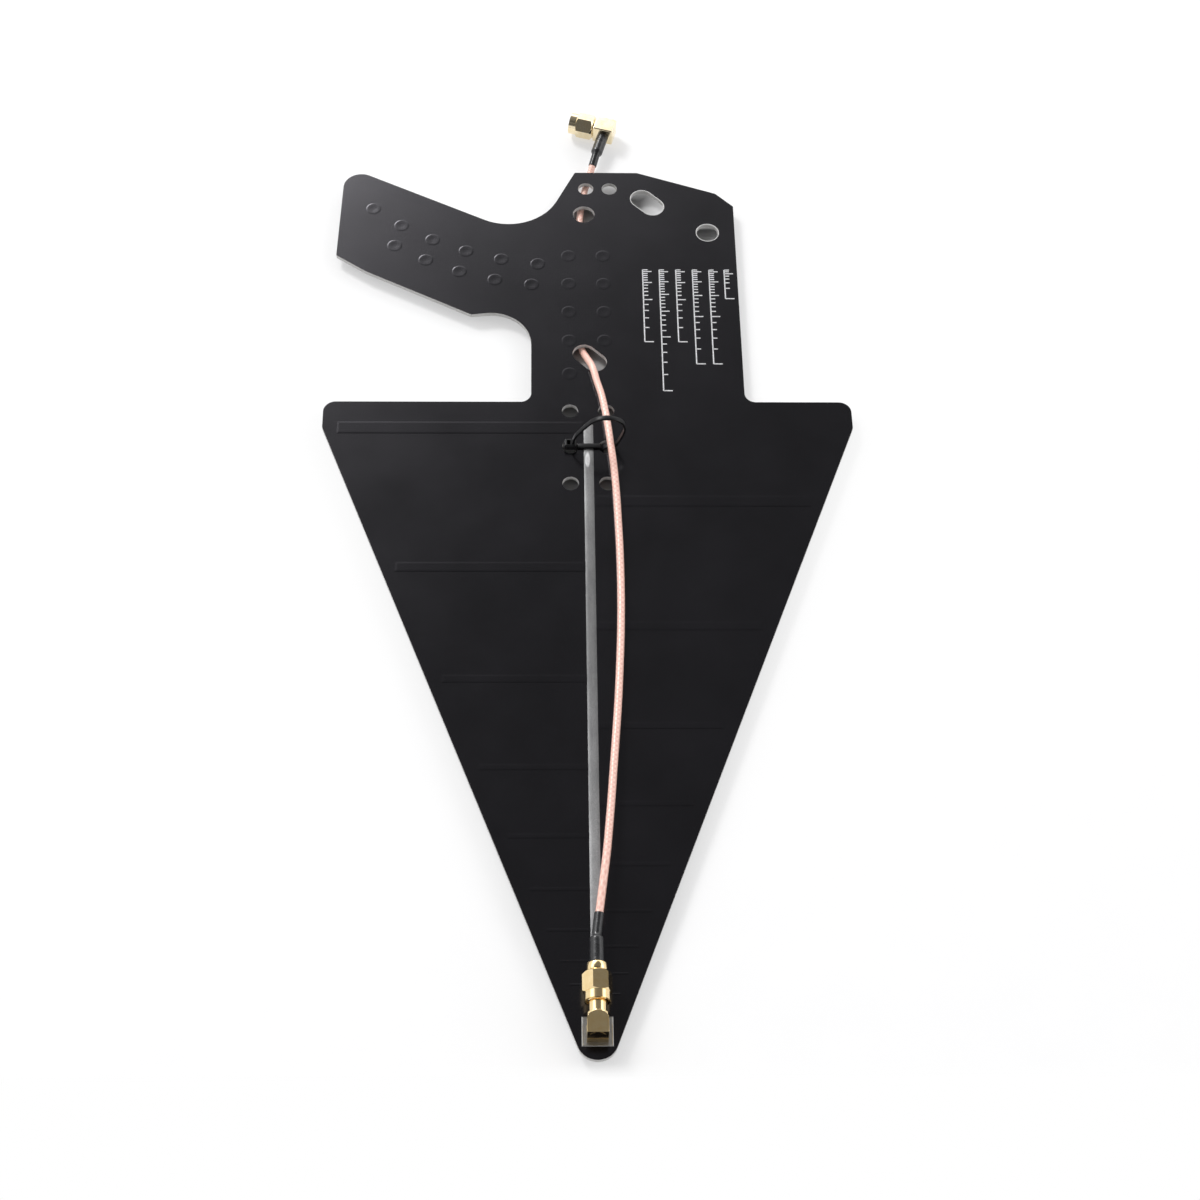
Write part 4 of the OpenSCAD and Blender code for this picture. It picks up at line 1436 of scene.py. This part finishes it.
@dataclass
class ElbowPlug:
    """Right-angle plug on the lead's free end, with a nut that turns."""

    at: Point = (8.0, 196.6, 4.7488)
    yaw: float = math.radians(-16.5)
    roll: float = math.radians(2)
    tail_bend: float = math.radians(14)
    block_tilt: float = math.radians(-3.5)
    reach: float = 10.7
    width: float = 6.8
    back: float = 3.6
    block_edge: float = 0.45
    stem_seat: float = 0.2
    stem_l: float = 5.5
    stem_steps: int = 48
    cap_r: float = 2.4
    cap_section: Profile = ((2.4, 0.06), (0.35, 0.04), (0.12, 0.01), (0.04, -0.18), (0.0, -0.2))
    tail_l: float = 5.0
    made: list[bpy.types.Object] = field(default_factory=list)

    @property
    def crossing(self) -> Matrix:
        """Frame at the crossing of the two axes."""
        turn = Matrix.Rotation(self.yaw, 4, "Z") @ Matrix.Rotation(self.roll, 4, "X")
        return Matrix.Translation(Vector(self.at) * MM) @ turn

    @property
    def place(self) -> Matrix:
        """The nut's axis, with 0 at the mating plane."""
        back = Matrix.Translation((-self.reach * MM, 0, 0))
        return self.crossing @ back @ Matrix.Rotation(math.pi / 2, 4, "Y")

    def heading(self, bend: float) -> Vector:
        """Direction of the sleeve.

        Args:
            bend: Bend towards the table, in radians.

        Returns:
            A direction of length one.
        """
        ahead = Vector((0, -math.cos(bend), -math.sin(bend)))
        return (self.crossing.to_3x3() @ ahead).normalized()

    @property
    def turn_at(self) -> Vector:
        """Where the sleeve starts to bend, in millimetres."""
        return Vector(self.at) + self.heading(0) * (self.width / 2 + COAX.sleeve_to - COAX.collar_to)

    def build(self) -> None:
        """Make the plug's pieces and repaint what is inside."""
        nut = nut_shell("free_nut_shell", "elbow_nut", ELBOW_GOLD_PAINTED_PALER, Body.FREE_NUT)
        self.made = [nut, self.body(), self.cap(), self.sleeve()]
        repaint(WHITE, "elbow_insulator")
        repaint(CONTACT, "elbow_pin", "elbow_snap_ring", "elbow_ferrule")
        repaint(RUBBER, "elbow_gasket")

    def body(self) -> bpy.types.Object:
        """Block with the plug's front turned on it, and a short crimp stem.

        Returns:
            The block.
        """
        half = self.width / 2
        settled = self.crossing @ Matrix.Rotation(self.block_tilt, 4, "X")
        low = (COAX.collar_at - self.reach, -half, -half)
        bm = block(low, (self.back, half, half), settled, self.block_edge, segments=4)
        join(bm, turned(plug_profile(False), self.place))
        start, end = half - self.stem_seat, half + self.stem_l
        stem = [(COAX.core_r, start), (COAX.stem_r, start), (COAX.stem_r, end), (COAX.core_r, end)]
        leg = self.crossing @ Matrix.Rotation(math.pi / 2, 4, "X")
        join(bm, turned([*stem, stem[0]], leg, self.stem_steps))
        return piece("elbow_block", bm, ELBOW_GOLD_PAINTED_PALER, ["elbow_body"], smooth=50, flat=True)

    def cap(self) -> bpy.types.Object:
        """Disc pressed into the rear of the block.

        Returns:
            The disc.
        """
        rear = self.reach + self.back
        profile = [(self.cap_r - inset, rear + shift) for inset, shift in self.cap_section]
        return piece("elbow_rear_cap", turned(profile, self.place), ELBOW_GOLD_PAINTED_PALER, ["elbow_cap"])

    def sleeve(self) -> bpy.types.Object:
        """Shrink sleeve over the crimp and the start of the lead.

        Returns:
            The sleeve.
        """
        start = self.width / 2 - COAX.collar_to
        origin = Vector(self.at)
        ahead = self.heading(self.tail_bend)
        wide = [(origin + self.heading(0) * (start + s), r) for s, r in SLEEVE_FORM.wide()]
        tail = [(self.turn_at + ahead * t, r) for t, r in SLEEVE_FORM.tail(self.tail_l)]
        path, radii = zip(*wide, *tail)
        mesh = swept("elbow_shrink_sleeve", path, radii, sides=40)
        return dress("elbow_shrink_sleeve", mesh, SLEEVE, ["elbow_sleeve"], smooth=50)


@dataclass
class Lead:
    """Coax lead from the straight plug's sleeve to the elbow's."""

    plug: StraightPlug
    elbow: ElbowPlug
    radius: float = 1.25
    seat: float = 0.4
    steps: int = 8
    points: tuple[Point, ...] = (
        (3.4, -111, 9.1), (4.4, -101, 8.8), (5.3, -91, 8.4), (6.1, -81, 8.0), (6.9, -71, 7.6),
        (7.7, -61, 7.2), (8.4, -51, 6.9), (9.0, -40, 6.5), (9.5, -29, 6.2), (9.8, -18, 6.0),
        (9.9, -6, 5.9), (9.8, 5, 5.9), (9.5, 16, 5.9), (9.1, 27, 6.1), (8.4, 38, 6.5),
        (7.4, 48, 6.8), (6.1, 60, 6.4), (4.7, 69, 6.0), (3.2, 75, 5.9), (2.1, 80, 5.9),
        (1.1, 83.5, 5.2), (0.0, 87, 3.6), (-1.1, 90.5, 2.0), (-2.0, 94, 1.4), (-2.6, 101, 1.4),
        (-3.0, 112, 1.4), (-3.1, 124, 1.4), (-2.9, 136, 1.4), (-2.4, 148, 1.4), (-1.5, 159, 1.4),
        (0.0, 168.5, 1.4), (1.5, 174, 1.36),
    )

    def route(self) -> list[Vector]:
        """The lead's line, as in the solid.

        Returns:
            Points in millimetres.
        """
        jack = self.plug.jack
        start = Vector((0, jack.mating_y + COAX.sleeve_to, jack.axis_z))
        ahead = Vector((math.sin(self.plug.bend), math.cos(self.plug.bend), 0))
        back = self.elbow.heading(self.elbow.tail_bend)
        return [
            start + ahead * self.seat,
            start + ahead * self.plug.tail_l,
            *self.points,
            self.elbow.turn_at + back * self.elbow.tail_l,
            self.elbow.turn_at + back * self.seat,
        ]

    def build(self) -> None:
        path = smooth_path(self.route(), self.steps)
        mesh = swept("coax_lead", path, [self.radius] * len(path), sides=24)
        made = dress("coax_lead", mesh, JACKET, ["coax_cable"], smooth=70)


@dataclass
class Tie:
    """Nylon tie: one tight turn round the web, then a loose loop round the lead."""

    y: float = 47.5
    hole_x: float = 6.25
    inner_x: float = 3.682
    foot_x: float = 4.957
    strap_w: float = 1.7
    strap_t: float = 0.65
    strap_edge: float = 0.18
    corner: float = 0.7
    run_in: float = 0.2
    end_lift: float = 0.02
    turn_steps: int = 5
    loop_steps: int = 8
    top: float = 0.1
    low: float = -1.7
    head_l: float = 4.2
    head_w: float = 3.4
    head_h: float = 2.6
    head_bevel: float = 0.6
    window_l: float = 1.2
    window_w: float = 1.9
    window_depth: float = 1.6
    loop: tuple[tuple[float, float], ...] = (
        (-5.5, 2.0), (-4.71, 5.6), (-3.07, 8.58), (-0.61, 12.3), (1.89, 15.0), (5.2, 16.1),
        (8.6, 15.6), (11.2, 13.7), (12.1, 10.59), (11.61, 7.6), (10.6, 4.6), (9.15, 1.155),
        (7.95, 0.578), (6.35, 0.525),
    )

    def build(self) -> None:
        """Make the strap and the head."""
        self.strap()
        self.head()

    def loop_path(self) -> list[Vector]:
        """Middle line of the loose loop over and under the lead, and down the right hole.

        Returns:
            Points across the boom, in millimetres above the board's face.
        """
        foot = [(self.foot_x, -self.strap_t), (self.foot_x, self.low)]
        return smooth_path([(px, 0, pz) for px, pz in [*self.loop, *foot]], self.loop_steps)

    def turn_path(self) -> list[Vector]:
        """Middle line of the tight turn, with rounded corners and its run to the right hole.

        Returns:
            Points across the boom, in millimetres above the board's face.
        """
        x, half = self.inner_x + self.strap_t / 2, self.strap_t / 2
        top, low, r = self.top + half, self.low - half, self.corner
        corners = [
            (self.foot_x + half, low),
            (x - self.run_in, low),
            (r - x, low),
            (-x, low + r),
            (-x, top - r),
            (r - x, top),
            (x - r, top),
            (x, top - r),
            (x, low + r),
            (x - r, low + self.end_lift),
        ]
        return smooth_path([(px, 0, pz) for px, pz in corners], self.turn_steps)

    def ribbon(self, bm: bmesh.types.BMesh, path: Sequence[Vector]) -> None:
        """Extrude a strap's width along a path.

        Args:
            bm: Mesh that takes the ribbon.
            path: Points in millimetres above the board's face.
        """
        shift = Vector((0, self.y, FACE_Z))
        half = Vector((0, self.strap_w / 2, 0))
        ends = [bm.verts.new((path[0] + shift + side) * MM) for side in (-half, half)]
        rail = bm.edges.new(ends)
        for a, b in zip(path, path[1:]):
            made = bmesh.ops.extrude_edge_only(bm, edges=[rail])["geom"]
            moved = [g for g in made if isinstance(g, bmesh.types.BMVert)]
            bmesh.ops.translate(bm, vec=(b - a) * MM, verts=moved)
            rail = next(g for g in made if isinstance(g, bmesh.types.BMEdge))

    def strap(self) -> None:
        """Strap with rounded edges."""
        bm = bmesh.new()
        self.ribbon(bm, self.turn_path())
        self.ribbon(bm, self.loop_path())
        bmesh.ops.recalc_face_normals(bm, faces=bm.faces)
        made = piece("tie_strap", bm, NYLON, ["cable_tie"], smooth=60)
        wall = made.modifiers.new("wall", "SOLIDIFY")
        wall.thickness = self.strap_t * MM
        wall.offset = 0.0
        edge = made.modifiers.new("edge", "BEVEL")
        edge.width = self.strap_edge * MM
        edge.segments = 2
        edge.limit_method = "ANGLE"
        edge.angle_limit = math.radians(50)

    def head(self) -> None:
        """Head with a window for the strap."""
        middle = Vector((-self.hole_x, self.y, FACE_Z))
        low = middle - Vector((self.head_l / 2, self.head_w / 2, 0))
        high = middle + Vector((self.head_l / 2, self.head_w / 2, self.head_h))
        bm = block(low, high, Matrix(), self.head_bevel, segments=4)
        across = Vector((1, 0, 0)), Vector((0, 1, 0))
        centre = middle - across[0] * self.window_l / 2
        for axis, width in zip(across, (self.window_l, self.window_w)):
            for side in (-width / 2, width / 2):
                top = [f for f in bm.faces if f.normal.z > FACING_UP]
                geom = [*top, *{e for f in top for e in f.edges}, *{v for f in top for v in f.verts}]
                cut = (centre + axis * side) * MM
                bmesh.ops.bisect_plane(bm, geom=geom, plane_co=cut, plane_no=axis)
        top = [f for f in bm.faces if f.normal.z > FACING_UP]
        window = min(top, key=lambda f: (f.calc_center_median().xy - centre.xy * MM).length)
        window = bmesh.ops.extrude_discrete_faces(bm, faces=[window])["faces"][0]
        bmesh.ops.translate(bm, vec=-UP * self.window_depth * MM, verts=window.verts)
        piece("tie_head", bm, NYLON, smooth=50, flat=True)


@dataclass
class Studio:
    """Floor, soft light and the photograph's camera."""

    camera_at: Point = (-17.676, -435.916, 645.297)
    pitch: float = math.radians(56.6884)
    yaw: float = math.radians(-2.8101)
    roll: float = math.radians(-2.3311)
    lens: float = 70.142
    sensor: float = 36.0
    clip: tuple[float, float] = (0.01, 20.0)
    floor_half: float = 40.0
    floor_z: float = -0.02
    floor_tone: Colour = (0.98, 0.98, 0.98)
    floor_fleck: float = 0.985
    floor_glow: float = 0.5
    # Extra glow along Y, in millimetres and share: painted light that lifts the floor's shadow along
    # the fan and in front of the tip
    painted_light_along: tuple[tuple[float, float], ...] = (
        (-179.0, 0.5), (-174.5, 0.0), (-130.0, 0.03), (-81.0, 0.15), (-23.0, 0.26), (35.0, 0.36),
        (60.0, 0.36), (72.0, 0.0),
    )
    # Areas under the body, X and Y ranges and fade in millimetres: painted shade, where the floor is
    # mixed with black so the holes look down on a darker floor
    painted_shade_areas: tuple[tuple[tuple[float, float], tuple[float, float], float], ...] = (
        ((-12.0, 48.5), (28.0, 151.0), 3.0),
        ((-3.5, 19.0), (140.0, 166.0), 3.0),
        ((12.0, 20.5), (150.0, 165.0), 11.0),
    )
    lamps: tuple[tuple[Point, float, float, bool], ...] = (
        ((-0.65, 0.95, 1.0), 10.8, 0.35, True),
        ((1.15, -0.25, 0.8), 2.6, 1.0, True),
        ((-0.39, 1.365, 0.975), 3.5, 0.34, False),
    )
    sky_level: float = 2.28
    sky_lean: float = 0.5
    sky_side: float = 0.15
    sky_tint: Colour = (0.99, 0.99, 1.0)
    sky_height: Profile = (
        (0.0, 0.44),
        (0.25, 0.46),
        (0.42, 1.0),
        (0.62, 1.0),
        (0.70, 0.66),
        (0.74, 0.24),
        (0.78, 0.11),
        (0.85, 0.09),
        (1.0, 0.09),
    )
    sky_depth: Profile = ((0.2, 0.05), (0.45, 0.7), (0.6, 1.0))
    sky_low: Profile = ((0.0, 1.0), (0.22, 0.9), (0.4, 0.0))

    def build(self) -> None:
        """Make the set."""
        scene = bpy.context.scene
        scene.view_settings.view_transform = "Standard"
        self.floor()
        self.world()
        for at, power, size, lights in self.lamps:
            self.lamp(at, power, size, lights)
        self.camera()

    def floor(self) -> None:
        """Pale floor that keeps the shadow, with painted shade under the body and painted light along
        the fan and in front of the tip.
        """
        bm = bmesh.new()
        place = Matrix.Translation((0, 0, self.floor_z * MM))
        bmesh.ops.create_grid(bm, x_segments=1, y_segments=1, size=self.floor_half, matrix=place)
        mesh = bpy.data.meshes.new("studio_floor")
        bm.to_mesh(mesh)
        bm.free()
        graph = Graph("pale_floor")
        fleck = graph.noise(graph.place(), scale=60, detail=2)
        low = tuple(tone * self.floor_fleck for tone in self.floor_tone)
        graph.feed("Base Color", graph.ramp(fleck, [(0.3, low), (0.7, self.floor_tone)]))
        graph.set(Roughness=0.9, Specular_IOR_Level=0.0)
        self.glow(graph)
        mesh.materials.append(graph.material)
        made = bpy.data.objects.new("studio_floor", mesh)
        bpy.context.scene.collection.objects.link(made)

    def glow(self, graph: Graph) -> None:
        """Lift the floor towards white where it is seen, with painted light that lifts it more along
        the fan and in front of the tip, and painted shade under the body, where it is mixed with black.

        Args:
            graph: The floor's nodes.
        """
        path = graph.node("ShaderNodeLightPath")
        seen = graph.math("MAXIMUM", path.outputs["Is Camera Ray"], path.outputs["Is Glossy Ray"])
        seen = graph.math("MAXIMUM", seen, path.outputs["Is Transmission Ray"])
        at = graph.parts(graph.place())
        # Share of white glow outside the painted shade areas; inside them the floor is mixed with black
        lit = None
        for *area, fade in self.painted_shade_areas:
            away = []
            for axis, (low, high) in zip("XY", area):
                off = graph.math("ABSOLUTE", graph.math("SUBTRACT", at[axis], (low + high) / 2 * MM))
                away.append(graph.math("SUBTRACT", off, (high - low) / 2 * MM))
            share = graph.share(graph.math("MAXIMUM", *away), 0.0, fade * MM)
            lit = share if lit is None else graph.math("MINIMUM", lit, share)
        # Painted light: more glow along Y, outside the painted shade areas
        near, far = self.painted_light_along[0][0], self.painted_light_along[-1][0]
        stops = [((y - near) / (far - near), more) for y, more in self.painted_light_along]
        more = graph.tones(at["Y"], near * MM, far * MM, stops)
        level = graph.math("ADD", graph.math("MULTIPLY", lit, more), self.floor_glow)
        white = graph.node("ShaderNodeEmission")
        # Painted shade: the emission is black in the painted shade areas
        graph.link(lit, white.inputs["Strength"])
        blend = graph.node("ShaderNodeMixShader")
        graph.link(graph.math("MULTIPLY", seen, level), blend.inputs["Fac"])
        graph.link(graph.shader.outputs["BSDF"], blend.inputs[1])
        graph.link(white.outputs["Emission"], blend.inputs[2])
        graph.link(blend.outputs["Shader"], graph.output.inputs["Surface"])

    def world(self) -> None:
        """Soft surround: bright near the horizon, dim overhead and in front higher up."""
        world = bpy.data.worlds.new("studio")
        bpy.context.scene.world = world
        world.use_nodes = True
        nodes = Nodes(world.node_tree)
        at = nodes.parts(nodes.node("ShaderNodeTexCoord").outputs["Generated"])
        side = nodes.node("ShaderNodeClamp", {"Min": -self.sky_side, "Max": self.sky_side})
        nodes.link(at["X"], side.inputs["Value"])
        lean = nodes.math("MULTIPLY", side.outputs["Result"], self.sky_lean)
        height = nodes.tones(nodes.math("ADD", lean, at["Z"]), 0.0, 1.0, self.sky_height)
        depth = nodes.tones(at["Y"], -1.0, 1.0, self.sky_depth)
        low = nodes.tones(at["Z"], 0.0, 1.0, self.sky_low)
        tone = nodes.math("MULTIPLY", height, nodes.math("MAXIMUM", depth, low))
        soft = nodes.node("ShaderNodeBackground", {"Color": (*self.sky_tint, 1.0)})
        nodes.link(nodes.math("MULTIPLY", tone, self.sky_level), soft.inputs["Strength"])
        output = nodes.node("ShaderNodeOutputWorld")
        nodes.link(soft.outputs["Background"], output.inputs["Surface"])

    def lamp(self, at: Point, power: float, size: float, lights: bool) -> None:
        """Soft lamp aimed at the object.

        Args:
            at: Its place in metres.
            power: Its power in watts.
            size: Its side in metres.
            lights: Whether it lights surfaces, or is only mirrored in glossy ones.
        """
        light = bpy.data.lights.new("soft_lamp", "AREA")
        light.shape = "SQUARE"
        light.size = size
        light.energy = power
        made = bpy.data.objects.new("soft_lamp", light)
        made.visible_diffuse = lights
        made.location = at
        made.rotation_euler = (-Vector(at)).to_track_quat("-Z", "Y").to_euler()
        bpy.context.scene.collection.objects.link(made)

    def camera(self) -> None:
        """Camera at the photograph's place, lens and tilt."""
        right, ahead, up = Vector((1, 0, 0)), Vector((0, 1, 0)), UP.copy()
        yaw = Matrix.Rotation(self.yaw, 3, "Z")
        right, ahead = yaw @ right, yaw @ ahead
        nod = Matrix.Rotation(-self.pitch, 3, right)
        ahead, up = nod @ ahead, nod @ up
        lean = Matrix.Rotation(self.roll, 3, ahead)
        right, up = lean @ right, lean @ up
        data = bpy.data.cameras.new("photo_camera")
        data.sensor_width = self.sensor
        data.lens = self.lens
        data.clip_start, data.clip_end = self.clip
        made = bpy.data.objects.new("photo_camera", data)
        turn = Matrix((right, up, -ahead)).transposed().to_4x4()
        made.matrix_world = Matrix.Translation(Vector(self.camera_at) * MM) @ turn
        bpy.context.scene.collection.objects.link(made)
        bpy.context.scene.camera = made


def main() -> None:
    """Build the studio and the antenna's sub-assemblies in order."""
    logging.basicConfig(level=logging.INFO, format="%(name)s: %(message)s")
    Studio().build()
    jack = Jack()
    plug = StraightPlug(jack)
    elbow = ElbowPlug()
    Board().build()
    FeedLine().build()
    jack.build()
    plug.build()
    elbow.build()
    Lead(plug, elbow).build()
    Tie().build()


if __name__ == "__main__":
    main()
